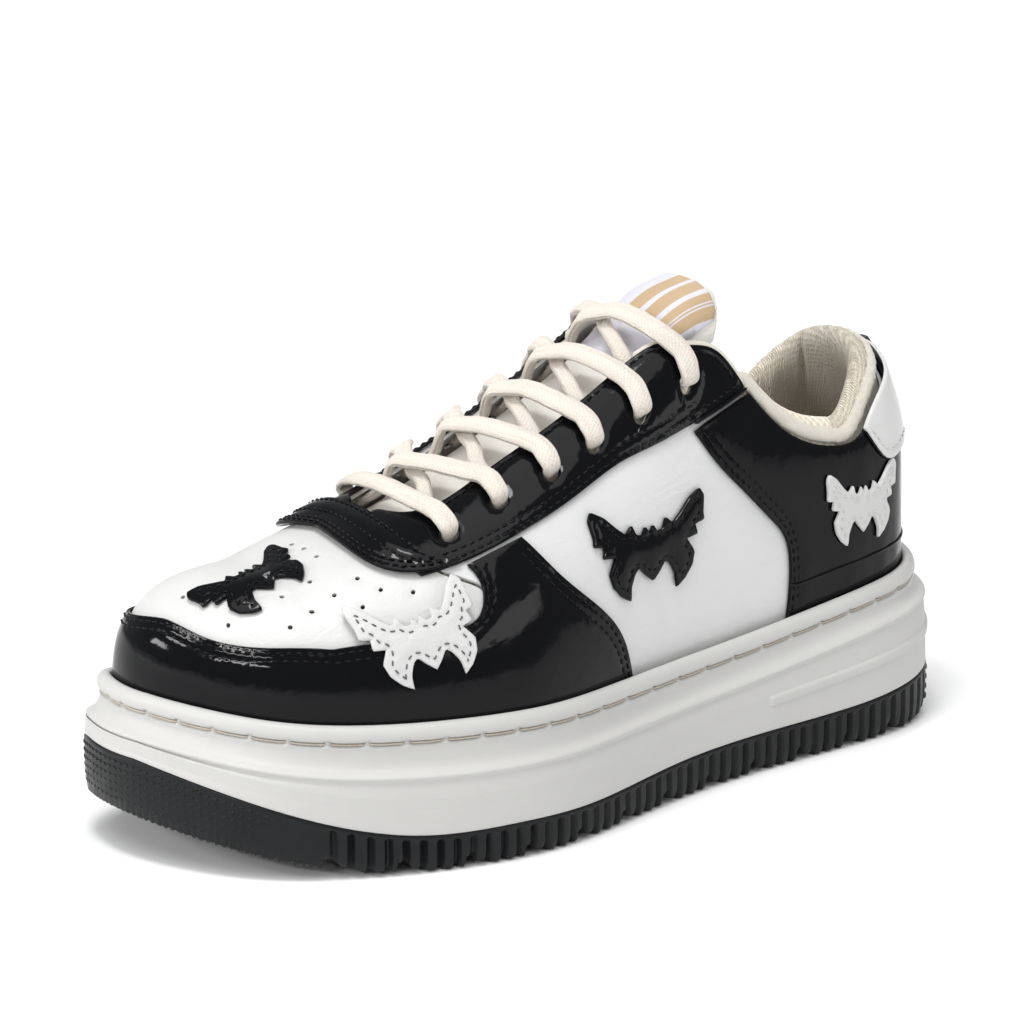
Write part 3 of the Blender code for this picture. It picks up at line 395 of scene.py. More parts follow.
# ------------------------------------------------------------------ materials
class Look:
    """One procedural material: a Principled shader and the texture nodes that feed it."""

    def __init__(self, name, colour, rough, **fixed):
        self.mat = bpy.data.materials.new(name)
        self.mat.use_nodes = True
        self.tree = self.mat.node_tree
        self.shader = self.tree.nodes["Principled BSDF"]
        self.shader.inputs["Base Color"].default_value = (*colour, 1.0)
        self.shader.inputs["Roughness"].default_value = rough
        for key, value in fixed.items():
            self.shader.inputs[key.replace("_", " ")].default_value = value
        self.colour = colour
        self.normal = None
        self.space = self.tree.nodes.new("ShaderNodeTexCoord").outputs["Object"]
        cloth = self.tree.nodes.new("ShaderNodeAttribute")
        cloth.attribute_name = "pattern"
        self.cloth = cloth.outputs["Vector"]

    def link(self, a, b):
        self.tree.links.new(a, b)

    def node(self, kind, **settings):
        made = self.tree.nodes.new("ShaderNode" + kind)
        for key, value in settings.items():
            setattr(made, key, value)
        return made

    def moved(self, source, scale=(1, 1, 1), turn=0.0):
        m = self.node("Mapping")
        m.inputs["Scale"].default_value = scale
        m.inputs["Rotation"].default_value = (0, 0, turn)
        self.link(source, m.inputs["Vector"])
        return m.outputs["Vector"]

    def noise(self, source, scale, detail=3.0, rough=0.55, twist=0.0):
        n = self.node("TexNoise")
        n.inputs["Scale"].default_value = scale
        n.inputs["Detail"].default_value = detail
        n.inputs["Roughness"].default_value = rough
        n.inputs["Distortion"].default_value = twist
        self.link(source, n.inputs["Vector"])
        return n.outputs["Fac"]

    def cells(self, source, scale, feature="F1"):
        n = self.node("TexVoronoi", feature=feature)
        n.inputs["Scale"].default_value = scale
        self.link(source, n.inputs["Vector"])
        return n.outputs["Distance"]

    def ribs(self, source, scale, twist=0.0, detail=2.0, way="X"):
        n = self.node("TexWave", bands_direction=way)
        n.inputs["Scale"].default_value = scale
        n.inputs["Distortion"].default_value = twist
        n.inputs["Detail"].default_value = detail
        n.inputs["Detail Scale"].default_value = 1.5
        self.link(source, n.inputs["Vector"])
        return n.outputs["Fac"]

    def span(self, value, low, high, out_low, out_high):
        m = self.node("MapRange")
        m.inputs["From Min"].default_value = low
        m.inputs["From Max"].default_value = high
        m.inputs["To Min"].default_value = out_low
        m.inputs["To Max"].default_value = out_high
        self.link(value, m.inputs["Value"])
        return m.outputs["Result"]

    def math(self, how, a, b):
        m = self.node("Math", operation=how)
        for socket, value in zip(m.inputs, (a, b)):
            if isinstance(value, (int, float)):
                socket.default_value = value
            else:
                self.link(value, socket)
        return m.outputs["Value"]

    def tint(self, fac, other):
        """Mixes the base colour toward another where fac is high."""
        m = self.node("Mix", data_type="RGBA")
        socket = self.shader.inputs["Base Color"]
        if socket.is_linked:
            self.link(socket.links[0].from_socket, m.inputs[6])
        else:
            m.inputs[6].default_value = (*self.colour, 1.0)
        m.inputs[7].default_value = (*other, 1.0)
        self.link(fac, m.inputs[0])
        self.link(m.outputs[2], socket)

    def rough(self, value):
        self.link(value, self.shader.inputs["Roughness"])

    def bump(self, height, distance, strength=1.0):
        b = self.node("Bump")
        b.inputs["Strength"].default_value = strength
        b.inputs["Distance"].default_value = distance
        self.link(height, b.inputs["Height"])
        if self.normal is not None:
            self.link(self.normal, b.inputs["Normal"])
        self.normal = b.outputs["Normal"]
        self.link(self.normal, self.shader.inputs["Normal"])


def scaled(colour, share):
    return tuple(c * share for c in colour)


def patent(name, colour):
    look = Look(name, colour, 0.07, Coat_Weight=0.08, Coat_Roughness=0.02,
                Specular_IOR_Level=0.13)
    look.rough(look.span(look.noise(look.space, 160, 4), 0.35, 0.7, 0.045, 0.13))
    look.bump(look.noise(look.space, 55, 3, 0.5, 0.4), 0.0011, 0.35)
    look.bump(look.noise(look.space, 420, 2), 0.00006, 0.5)
    look.tint(look.span(look.noise(look.space, 90, 5, 0.7), 0.62, 0.8, 0.0, 0.35),
              tuple(min(1.0, c * 1.6 + 0.004) for c in colour))
    return look.mat


def leather(name, colour, rough=0.42):
    look = Look(name, colour, rough, Specular_IOR_Level=0.45, Coat_Weight=0.08,
                Coat_Roughness=0.25)
    grain = look.cells(look.space, 1150)
    look.bump(look.noise(look.moved(look.space, (1, 0.35, 1)), 110, 4, 0.6, 1.2), 0.0010, 0.42)
    look.bump(look.noise(look.moved(look.space, (1, 0.4, 1)), 420, 3, 0.6, 2.0), 0.00022, 0.4)
    look.bump(grain, 0.00007, 0.45)
    look.rough(look.span(grain, 0.0, 0.8, rough - 0.07, rough + 0.08))
    look.tint(look.span(look.noise(look.space, 60, 4), 0.45, 0.8, 0.0, 0.22),
              scaled(colour, 0.93))
    return look.mat


def rubber(name, colour, rough, grain=900, dirt=0.10, shine=0.4):
    look = Look(name, colour, rough, Specular_IOR_Level=shine)
    look.bump(look.noise(look.space, grain, 3), 0.00005, 0.5)
    look.bump(look.noise(look.space, 70, 3), 0.0005, 0.12)
    look.rough(look.span(look.noise(look.space, 240, 4), 0.3, 0.7, rough - 0.08, rough + 0.1))
    look.tint(look.span(look.noise(look.space, 45, 6, 0.7), 0.5, 0.78, 0.0, dirt * 3),
              scaled(colour, 1 - dirt))
    return look.mat


def knit(name, colour, deep, pitch=1.9, turn=0.6):
    """Ribbed lining: raised cords with small loops along each one, the grooves between the cords
    darkened as painted shade.
    """
    look = Look(name, colour, 0.9, Sheen_Weight=0.35, Sheen_Roughness=0.6, Specular_IOR_Level=0.2)
    lay = look.moved(look.cloth, (1, 1, 1), turn)
    cords = look.ribs(lay, WAVE / pitch, 1.1, 1.0)
    loops = look.ribs(lay, WAVE / (pitch * 0.62), 2.0, 1.0, "Y")
    body = look.math("ADD", look.math("MULTIPLY", cords, 0.75), look.math("MULTIPLY", loops, 0.25))
    look.bump(body, 0.0007, 1.0)
    look.bump(look.noise(look.space, 1900, 3), 0.00018, 0.5)
    # painted shade: the grooves between the cords are tinted toward the deep tone
    look.tint(look.span(body, 0.1, 0.6, 0.9, 0.0), deep)
    look.tint(look.span(look.noise(look.space, 60, 4), 0.5, 0.8, 0.0, 0.3), deep)
    return look.mat


def fleece(name, colour, deep):
    look = Look(name, colour, 0.95, Sheen_Weight=0.5, Sheen_Roughness=0.7, Specular_IOR_Level=0.15)
    fuzz = look.noise(look.space, 1500, 4, 0.7, 1.5)
    look.bump(fuzz, 0.0007, 0.8)
    # painted shade: where the pile is low the fleece is tinted toward the deep tone
    look.tint(look.span(fuzz, 0.2, 0.5, 0.8, 0.0), deep)
    return look.mat


def braid(name, colour, deep):
    """Flat tubular lace: two families of slanting yarns round a soft core."""
    look = Look(name, colour, 0.62, Sheen_Weight=0.25, Sheen_Roughness=0.5, Specular_IOR_Level=0.3)
    one = look.ribs(look.moved(look.cloth, (1, 1, 1), 0.95), WAVE / 0.8, 0.3, 1.0)
    two = look.ribs(look.moved(look.cloth, (1, 1, 1), -0.95), WAVE / 0.8, 0.3, 1.0)
    yarn = look.math("MAXIMUM", one, two)
    look.bump(yarn, 0.00018, 0.8)
    fold = look.ribs(look.cloth, WAVE / 2.1, 3.0, 2.0, "Y")
    look.bump(fold, 0.0005, 0.30)
    # painted shade: the gaps between the yarns are tinted toward the deep tone
    look.tint(look.span(yarn, 0.2, 0.7, 0.22, 0.0), deep)
    streaks = look.noise(look.moved(look.cloth, (0.06, 1, 1)), 1.2, 4)
    look.tint(look.span(streaks, 0.45, 0.75, 0.0, 0.35), deep)
    return look.mat


def thread(name, colour, rough=0.5, shine=0.5):
    look = Look(name, colour, rough, Specular_IOR_Level=shine)
    look.bump(look.ribs(look.moved(look.space, (1, 1, 1), 0.8), 420, 2.0), 0.00012, 0.6)
    look.tint(look.span(look.noise(look.space, 700, 3), 0.4, 0.8, 0.0, 0.5),
              scaled(colour, 0.6))
    return look.mat


def board(name, colour):
    look = Look(name, colour, 0.9)
    fibre = look.noise(look.moved(look.space, (1, 0.2, 1)), 1200, 4)
    look.bump(fibre, 0.0002, 0.5)
    look.tint(look.span(fibre, 0.3, 0.7, 0.5, 0.0), scaled(colour, 0.75))
    return look.mat


def banded_label(name):
    """Plain woven label: tan slanting bands on pale lilac white."""
    look = Look(name, (0.64, 0.63, 0.70), 0.55, Specular_IOR_Level=0.4, Sheen_Weight=0.1)
    tan = (0.50, 0.355, 0.21)
    slant = look.moved(look.cloth, (1, 1, 1), -0.29)
    part = look.node("SeparateXYZ")
    look.link(slant, part.inputs["Vector"])
    run = part.outputs["X"]

    def band(low, high):
        up = look.span(run, low, low + 0.25, 0.0, 1.0)
        down = look.span(run, high, high + 0.25, 1.0, 0.0)
        return look.math("MULTIPLY", up, down)

    bands = band(-17.0, -5.0)
    for low, high in ((-0.5, 10.0), (14.0, 19.5), (20.3, 21.3), (22.1, 28.0)):
        bands = look.math("MAXIMUM", bands, band(low, high))
    plain = look.node("SeparateXYZ")
    look.link(look.cloth, plain.inputs["Vector"])
    look.tint(look.math("MULTIPLY", bands, look.span(plain.outputs["Y"], -33.3, -33.0, 1.0, 0.0)), tan)
    weft = look.ribs(look.cloth, WAVE / 0.7, 0.2, 1.0, "Y")
    warp = look.ribs(look.cloth, WAVE / 0.7, 0.2, 1.0, "X")
    look.bump(look.math("MAXIMUM", weft, warp), 0.0001, 0.5)
    return look.mat


PATENT_BLACK = patent("patent_black", (0.003, 0.0032, 0.004))
PATENT_WHITE = patent("patent_white", (0.66, 0.66, 0.65))
LEATHER_WHITE = leather("leather_white", (0.66, 0.665, 0.655))
# vamp_white is a darker copy of the white leather: painted shade that offsets the front light falling
# on the toe
VAMP_WHITE = leather("vamp_white", (0.62, 0.62, 0.608), 0.38)
TONGUE_WHITE = leather("tongue_white", (0.70, 0.68, 0.63), 0.5)
# patch_white is a darker copy of the white leather as well: painted shade that tones down the front
# light
PATCH_WHITE = leather("patch_white", (0.60, 0.60, 0.59), 0.34)
CUP_RUBBER = rubber("cup_rubber", (0.535, 0.53, 0.515), 0.5)
TREAD_RUBBER = rubber("tread_rubber", (0.0065, 0.0072, 0.008), 0.42, 700, 0.35, 0.24)
FOAM = rubber("wedge_foam", (0.78, 0.78, 0.76), 0.85, 1400, 0.08)
LINING_KNIT = knit("lining_knit", (0.90, 0.83, 0.70), (0.72, 0.60, 0.44))
SOCK_CLOTH = knit("sock_cloth", (0.80, 0.73, 0.62), (0.60, 0.50, 0.38), 1.1, 0.0)
EDGE_FLEECE = fleece("edge_fleece", (0.78, 0.73, 0.63), (0.55, 0.48, 0.38))
LACE_BRAID = braid("lace_braid", (0.71, 0.652, 0.582), (0.54, 0.46, 0.37))
THREAD_BLACK = thread("thread_black", (0.004, 0.004, 0.005), 0.36, 0.16)
THREAD_GREY = thread("thread_grey", (0.10, 0.095, 0.10), 0.6)
THREAD_TAN = thread("thread_tan", (0.56, 0.49, 0.41), 0.7)
THREAD_WHITE = thread("thread_white", (0.64, 0.63, 0.60), 0.5)
BOARD = board("fibre_board", (0.50, 0.44, 0.36))
# painted shade: the toe puff is near black so that the vamp's perforations look dark inside
PUFF_SHADE_BOARD = board("puff_shade_board", (0.06, 0.055, 0.05))
WEBBING = braid("black_webbing", (0.014, 0.014, 0.017), (0.004, 0.004, 0.005))
LABEL = banded_label("label_bands")


# ------------------------------------------------------------------ pieces
def piece(name, verts, faces, look, body="shoe", replaces=(), pattern=None, sharp=42):
    mesh = bpy.data.meshes.new(name)
    points = (np.asarray(verts, float) + np.array(SHIFT)) * MM
    mesh.from_pydata(points.tolist(), [], [tuple(int(i) for i in f) for f in faces])
    if pattern is not None:
        cloth = mesh.attributes.new("pattern", "FLOAT_VECTOR", "POINT")
        cloth.data.foreach_set("vector", np.asarray(pattern, float).ravel())
    mesh.polygons.foreach_set("use_smooth", [True] * len(mesh.polygons))
    mesh.set_sharp_from_angle(angle=math.radians(sharp))
    mesh.materials.append(look)
    obj = bpy.data.objects.new(name, mesh)
    bpy.context.scene.collection.objects.link(obj)
    if body:
        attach(obj, body)
    if replaces:
        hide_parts(*replaces)
    return obj


def spaced(path, step):
    """Open run re-spaced evenly."""
    p = np.asarray(path, float)
    t = walked(p)
    return picked(p, t, np.linspace(0, t[-1], max(2, int(round(t[-1] / step)) + 1)))


def offset_run(path, by):
    """Open pattern run moved sideways, then smoothed."""
    p = spaced(path, 1.5)
    steps = max(1, int(abs(by)))
    for _ in range(steps):
        d = np.gradient(p, axis=0)
        d /= np.linalg.norm(d, axis=1)[:, None] + 1e-9
        p = p + np.column_stack([-d[:, 1], d[:, 0]]) * by / steps
        p[1:-1] = 0.25 * p[:-2] + 0.5 * p[1:-1] + 0.25 * p[2:]
        p = spaced(p, 1.5)
    return p


def distance_to(pts, path, closed=False):
    """Distance to a run, and how far along it the nearest point is."""
    ends = np.roll(path, -1, axis=0)
    pairs = list(zip(path, ends))[:None if closed else -1]
    best = np.full(len(pts), 1e9)
    along_run = np.zeros(len(pts))
    start = 0.0
    for p, q in pairs:
        d = q - p
        size = math.hypot(*d) + 1e-12
        t = np.clip(((pts - p) @ d) / (size * size), 0, 1)
        gap = np.hypot(*(pts - (p + t[:, None] * d)).T)
        nearer = gap < best
        best = np.where(nearer, gap, best)
        along_run = np.where(nearer, start + t * size, along_run)
        start += size
    return best, along_run


def ripple(x, y, size, seed):
    """Gentle unevenness of a stretched skin, a few crossing waves."""
    rng = np.random.default_rng(seed)
    out = np.zeros(np.shape(x))
    for _ in range(7):
        turn = rng.uniform(0, PI)
        length = size * rng.uniform(0.55, 1.6)
        phase = rng.uniform(0, 2 * PI)
        out = out + np.sin(2 * PI * (x * math.cos(turn) + y * math.sin(turn)) / length + phase)
    return out / 4.0


def triangulate(outline, holes, lattice, fine):
    """Triangles inside an outline, with extra points where the surface bends sharply."""
    lo = outline.min(axis=0)
    hi = outline.max(axis=0)
    row = lattice * math.sqrt(3) / 2
    jj = np.arange(int(math.floor(lo[1] / row)), int(math.ceil(hi[1] / row)) + 1)
    ii = np.arange(int(math.floor(lo[0] / lattice)) - 1, int(math.ceil(hi[0] / lattice)) + 1)
    gi, gj = np.meshgrid(ii, jj)
    pts = np.column_stack([(gi * lattice + (gj % 2) * 0.5 * lattice).ravel(), (gj * row).ravel()])
    pts = pts[inside(pts, outline)]
    pts = pts[distance_to(pts, outline, True)[0] > min(1.3, lattice * 0.6)]
    if len(fine):
        cell = 1.1
        taken = {(math.floor(a / cell), math.floor(b / cell)) for a, b in fine}
        keep = [(math.floor(a / cell), math.floor(b / cell)) not in taken for a, b in pts]
        pts = np.vstack([pts[np.array(keep, bool)], fine])
    for hole in holes:
        pts = pts[~inside(pts, hole)]
        pts = pts[distance_to(pts, hole, True)[0] > 0.25]
    verts = []
    edges = []
    for loop in [outline] + list(holes):
        base = len(verts)
        verts += [tuple(v) for v in loop]
        edges += [(base + i, base + (i + 1) % len(loop)) for i in range(len(loop))]
    verts += [tuple(v) for v in pts]
    got = delaunay_2d_cdt([Vector(v) for v in verts], edges, [], 0, 1e-5, False)
    co = np.array([(v[0], v[1]) for v in got[0]])
    tri = np.array(got[2])
    mid = co[tri].mean(axis=1)
    good = inside(mid, outline)
    for hole in holes:
        good &= ~inside(mid, hole)
    tri = tri[good]
    a = co[tri[:, 1]] - co[tri[:, 0]]
    b = co[tri[:, 2]] - co[tri[:, 0]]
    area = a[:, 0] * b[:, 1] - a[:, 1] * b[:, 0]
    flip = area < 0
    tri[flip] = tri[flip][:, ::-1]
    tri = tri[np.abs(area) > 1e-5]
    used = np.unique(tri)
    remap = -np.ones(len(co), int)
    remap[used] = np.arange(len(used))
    return co[used], remap[tri]


def boundary(tri):
    """Directed edges that only one triangle has."""
    seen = {}
    for a, b, c in tri:
        for e in ((a, b), (b, c), (c, a)):
            seen[e] = True
    return [e for e in seen if (e[1], e[0]) not in seen]


def sheet_points(outline, rows):
    """Extra points just inside an edge and along stitch rows."""
    d = np.roll(outline, -1, axis=0) - np.roll(outline, 1, axis=0)
    d /= np.linalg.norm(d, axis=1)[:, None] + 1e-9
    inward = np.column_stack([-d[:, 1], d[:, 0]])
    area = outline[:, 0] @ np.roll(outline[:, 1], -1) - outline[:, 1] @ np.roll(outline[:, 0], -1)
    if area < 0:
        inward = -inward
    out = []
    for by in (0.22, 0.62):
        q = outline + inward * by
        q = q[inside(q, outline)]
        out.append(q[distance_to(q, outline, True)[0] > by * 0.8])
    for run in rows:
        for by in (-0.55, 0.0, 0.55):
            d = np.gradient(run, axis=0)
            d /= np.linalg.norm(d, axis=1)[:, None] + 1e-9
            q = run + np.column_stack([-d[:, 1], d[:, 0]]) * by
            q = q[inside(q, outline)]
            out.append(q[distance_to(q, outline, True)[0] > 0.75])
    return np.vstack(out)


def twofold(x, y):
    """Pattern places of a sheet's two faces, for its texture."""
    return np.column_stack([np.tile(x.ravel(), 2), np.tile(y.ravel(), 2), np.zeros(2 * x.size)])


def tube_faces(count, n, closed=False):
    """Quads joining count rings of n points, each to the next."""
    faces = []
    for k in range(count if closed else count - 1):
        q = (k + 1) % count
        for i in range(n):
            j = (i + 1) % n
            faces.append((k * n + i, k * n + j, q * n + j, q * n + i))
    return faces


def solid_tube(count, n):
    """The same, with both ends closed."""
    last = (count - 1) * n
    return tube_faces(count, n) + [tuple(reversed(range(n))), tuple(range(last, last + n))]


def laid(run, off):
    """A pattern run at a height above the form, and the way outward at each of its points."""
    core = lifted(run[:, 0], run[:, 1], off)
    return core, lifted(run[:, 0], run[:, 1], off + 1.0) - core


def panel(name, runs, top, look, node, skin=SKIN, holes=(), rows=(), lattice=2.4, shape=None,
          edge=0.5, wave=0.0, wave_size=26.0, dent=0.32, step=1.35, seed=1, puff=0.0):
    """Pattern piece laid on the foot form: rolled edge, sunken stitch rows, true thickness."""
    outline = runs if isinstance(runs, np.ndarray) else ring_of(runs, step)
    rows = [np.asarray(r, float) for r in rows]
    co, tri = triangulate(outline, list(holes), lattice, sheet_points(outline, rows))
    x, y = co[:, 0], co[:, 1]
    base = np.full(len(co), float(top)) if shape is None else shape(x, y)
    gap = distance_to(co, outline, True)[0]
    for hole in holes:
        gap = np.minimum(gap, distance_to(co, hole, True)[0] * 1.2)
    roll = np.clip(1 - gap / edge, 0, 1)
    off = base - edge * (1 - np.sqrt(1 - np.minimum(roll, 1.0) ** 2 * 0.98))
    off = off + puff * (1 - np.exp(-gap / 3.0))
    if wave:
        off = off + wave * ripple(x, y, wave_size, seed) * np.clip(gap / 4, 0, 1)
    for run in rows:
        near, far = distance_to(co, run)
        off = off - dent * np.exp(-(near / 0.75) ** 2) * (0.8 + 0.2 * np.cos(2 * PI * far / 3.0))
    upper = lifted(x, y, off)
    lower = lifted(x, y, base - skin)
    n = len(co)
    faces = [tuple(f) for f in tri] + [(a + n, c + n, b + n) for a, b, c in tri]
    faces += [(b, a, a + n, b + n) for a, b in boundary(tri)]
    return piece(name, np.vstack([upper, lower]), faces, look, "shoe", (node,),
                 twofold(x, y))


def stitches(name, runs, top, look, pitch=3.0, length=2.35, radius=0.30, shape=None):
    """Rows of single stitches, each a short bowed thread with its ends sunk in the skin."""
    verts = []
    faces = []
    stations = np.array([0.0, 0.16, 0.5, 0.84, 1.0])
    thick = np.array([0.45, 0.95, 1.0, 0.95, 0.45])
    bow = np.array([-0.42, -0.02, 0.16, -0.02, -0.42])
    sides = 6
    ring = np.arange(sides) * 2 * PI / sides
    tube = solid_tube(len(stations), sides)
    for run in runs:
        p = spaced(run, 0.7)
        core, up = laid(p, np.full(len(p), float(top)) if shape is None else shape(p[:, 0], p[:, 1]))
        t = walked(core)
        for k in range(int(t[-1] // pitch)):
            s = (k + 0.5) * pitch + (stations - 0.5) * length
            c = picked(core, t, s)
            u = picked(up, t, s)
            d = c[-1] - c[0]
            d /= np.linalg.norm(d) + 1e-9
            side = np.cross(d, u)
            side /= np.linalg.norm(side, axis=1)[:, None] + 1e-9
            c = c + u * (bow * radius / 0.3 - 0.05)[:, None]
            base = len(verts)
            for i in range(len(stations)):
                for a in ring:
                    verts.append(c[i] + (side[i] * math.cos(a) + u[i] * math.sin(a))
                                 * radius * thick[i])
            faces += [tuple(base + v for v in f) for f in tube]
    return piece(name, verts, faces, look, "shoe", (), sharp=60)


def rope(name, core, ups, half_wide, half_thick, look, sides, square, replaces=(),
         lump=None):
    """Flat or round band swept along a 3-D run; ups point away from the surface."""
    d = np.gradient(core, axis=0)
    d /= np.linalg.norm(d, axis=1)[:, None]
    wide = np.broadcast_to(np.asarray(half_wide, float), (len(core),))
    tall = np.broadcast_to(np.asarray(half_thick, float), (len(core),))
    t = walked(core)
    verts = []
    flat = []
    prev = None
    ang = np.arange(sides) * 2 * PI / sides
    ca = np.sign(np.cos(ang)) * np.abs(np.cos(ang)) ** (2 / square)
    sa = np.sign(np.sin(ang)) * np.abs(np.sin(ang)) ** (2 / square)
    for k in range(len(core)):
        side = np.cross(d[k], ups[k])
        if np.linalg.norm(side) < 0.35 and prev is not None:
            side = prev
        side = side - d[k] * (side @ d[k])
        side /= np.linalg.norm(side)
        if prev is not None:
            if side @ prev < 0:
                side = -side
            side = side * 0.35 + prev * 0.65
            side = side - d[k] * (side @ d[k])
            side /= np.linalg.norm(side)
        prev = side
        lift = np.cross(side, d[k])
        end = min(t[k], t[-1] - t[k])
        cap = math.sqrt(max(0.05, 1 - (1 - min(end / tall[k], 1.0)) ** 2))
        w, h = wide[k] * cap, tall[k] * cap
        for i in range(sides):
            extra = 1.0 if lump is None else lump(t[k], ang[i])
            verts.append(core[k] + (side * w * ca[i] + lift * h * sa[i]) * extra)
            flat.append((t[k], ang[i] / (2 * PI) * 2 * (w + h) * 1.6, 0.0))
    faces = solid_tube(len(core), sides)
    return piece(name, verts, faces, look, "shoe", replaces, flat, 70)


# ------------------------------------------------------------------ sole
RING = 1320
EDGE_CURVE = even(sole_outline(1440), RING)
edge_run = np.roll(EDGE_CURVE, -3, axis=0) - np.roll(EDGE_CURVE, 3, axis=0)
edge_run /= np.linalg.norm(edge_run, axis=1)[:, None]
EDGE_OUT = np.column_stack([edge_run[:, 1], -edge_run[:, 0]])
RING_STEP = float(np.hypot(*(EDGE_CURVE[1] - EDGE_CURVE[0])))
RING_ARC = np.arange(RING) * RING_STEP
RING_FROM_TOE = EDGE_CURVE[:, 1] + SOLE_LENGTH / 2


def foxing(y):
    return along(y, FOXING_Z)


def ledge(y):
    return along(y, LEDGE_Z)


def seam(y):
    return along(y, OUTSOLE_Z)


def sole_ring(off, z):
    """Points round the sole at an offset from the widest outline; both may vary round it."""
    move = np.broadcast_to(np.asarray(off, float), (RING,))
    q = EDGE_CURVE + EDGE_OUT * move[:, None]
    return np.column_stack([q, np.broadcast_to(np.asarray(z, float), (RING,))])


def rounded(rings, times):
    """Chaikin corner cutting down the profile, ring by ring."""
    for _ in range(times):
        out = [rings[0]]
        for a, b in zip(rings[:-1], rings[1:]):
            out += [0.75 * a + 0.25 * b, 0.25 * a + 0.75 * b]
        rings = out + [rings[-1]]
    return rings


def capped(ring, heights, lattice, up, extra=()):
    """Flat-ish cap over a ring whose inner points take their height from a function."""
    outline = ring[:, :2]
    fine = np.asarray(extra, float).reshape(-1, 2)
    co, tri = triangulate(outline, [], lattice, fine)
    z = heights(co[:, 0], co[:, 1])
    gap, where = distance_to(co, outline, True)
    on_edge = gap < 1e-4
    t = walked(np.vstack([outline, outline[:1]]))
    z = np.where(on_edge, np.interp(where, t, np.append(ring[:, 2], ring[0, 2])), z)
    if not up:
        tri = tri[:, ::-1]
    return np.column_stack([co, z]), tri


def welded(blocks):
    """Stacks (verts, faces) blocks and merges points that coincide."""
    verts = []
    faces = []
    base = 0
    for v, f in blocks:
        verts.append(np.asarray(v, float))
        faces += [tuple(int(i) + base for i in q) for q in f]
        base += len(v)
    verts = np.vstack(verts)
    key = {}
    remap = np.zeros(len(verts), int)
    kept = []
    for i, v in enumerate(np.round(verts, 3)):
        k = tuple(v)
        if k not in key:
            key[k] = len(kept)
            kept.append(i)
        remap[i] = key[k]
    out = []
    for f in faces:
        g = [int(remap[i]) for i in f]
        g = [a for a, b in zip(g, g[1:] + g[:1]) if a != b]
        if len(g) > 2:
            out.append(tuple(g))
    return verts[kept], out


def ground(y):
    """Toe spring and a little heel spring; flat between."""
    s = np.asarray(y) + SOLE_LENGTH / 2
    toe = 13.0 * (np.clip(70 - s, 0, None) / 70) ** 2
    heel = 3.0 * (np.clip(s - 252, 0, None) / 33) ** 2
    return toe + heel


FIRST_GROOVE = -SOLE_LENGTH / 2 + 34.0


def lug(y):
    """Sawtooth tread: a step up at each groove, then a slope back down to the crown."""
    p = (np.asarray(y, float) - FIRST_GROOVE) % LUG_PITCH
    cut = np.where(p < 1.2, LUG_DEPTH, LUG_DEPTH * np.clip(1 - (p - 1.2) / 6.3, 0, 1))
    return np.where((y > FIRST_GROOVE) & (y < SOLE_LENGTH / 2 - 20), cut, 0.0)


def tread(x, y):
    return ground(y) + lug(y)


def build_outsole():
    y = EDGE_CURVE[:, 1]
    top = seam(y)
    low = ground(y)
    side = np.clip((RING_FROM_TOE - 33) / 4, 0, 1) * np.clip((274 - RING_FROM_TOE) / 3, 0, 1)
    phase = (y - FIRST_GROOVE) / FLUTE_PITCH
    phase = phase - np.floor(phase)
    gap = np.abs(phase - 0.5) * FLUTE_PITCH
    groove = 1.5 * np.clip(1.15 - gap / 0.95, 0, 1) ** 0.7 * side
    scallop = 0.85 * (1 - np.clip(1.3 * np.cos(phase * 2 * PI) * 0.5 + 0.5, 0, 1)) * side
    flare = 0.35
    nick = 0.35 * (np.sin(2 * PI * RING_ARC / 2.4) > 0) * np.clip((34 - RING_FROM_TOE) / 6, 0, 1)
    rings = [sole_ring(-5.0, low + lug(y)),
             sole_ring(-3.0 - groove * 0.5, low + lug(y) + 0.05 + scallop * 0.4 + nick),
             sole_ring(-1.3 - groove - nick, low + lug(y) + 0.4 + scallop + nick),
             sole_ring(-0.5 - groove, low + lug(y) + 1.3 + scallop)]
    reach = top - low
    for share in (0.34, 0.46, 0.58, 0.70):
        rings.append(sole_ring(flare * (1 - abs(share - 0.6)) - 0.2 - groove, low + reach * share
                               + (1 - share) * lug(y) * 0.6))
    rings += [sole_ring(0.05 - groove, top - 2.3),
              sole_ring(0.1 - groove * 0.85, top - 1.75),
              sole_ring(0.15 - groove * 0.25, top - 1.35),
              sole_ring(0.15, top - 1.05),
              sole_ring(0.12, top - 0.5),
              sole_ring(-0.1, top - 0.12),
              sole_ring(-0.6, top - 0.05)]
    steps = []
    yy = FIRST_GROOVE
    while yy < SOLE_LENGTH / 2 - 20:
        for x in np.arange(-58, 62, 3.0):
            steps += [(x, yy - 0.08), (x, yy + 0.08), (x, yy + 1.2), (x, yy + 4.0), (x, yy + 7.5)]
        yy += LUG_PITCH
    steps = np.array(steps)
    rim_line = rings[0][:, :2]
    steps = steps[inside(steps, rim_line)]
    steps = steps[distance_to(steps, rim_line, True)[0] > 0.6]
    bottom = capped(rings[0], tread, 5.0, False, steps)
    roof = capped(rings[-1], lambda a, b: seam(b) - 0.05, 9.0, True)
    verts, faces = welded([(np.vstack(rings), tube_faces(len(rings), RING)), bottom, roof])
    piece("outsole_fluted", verts, faces, TREAD_RUBBER, replaces=("outsole",), sharp=38)


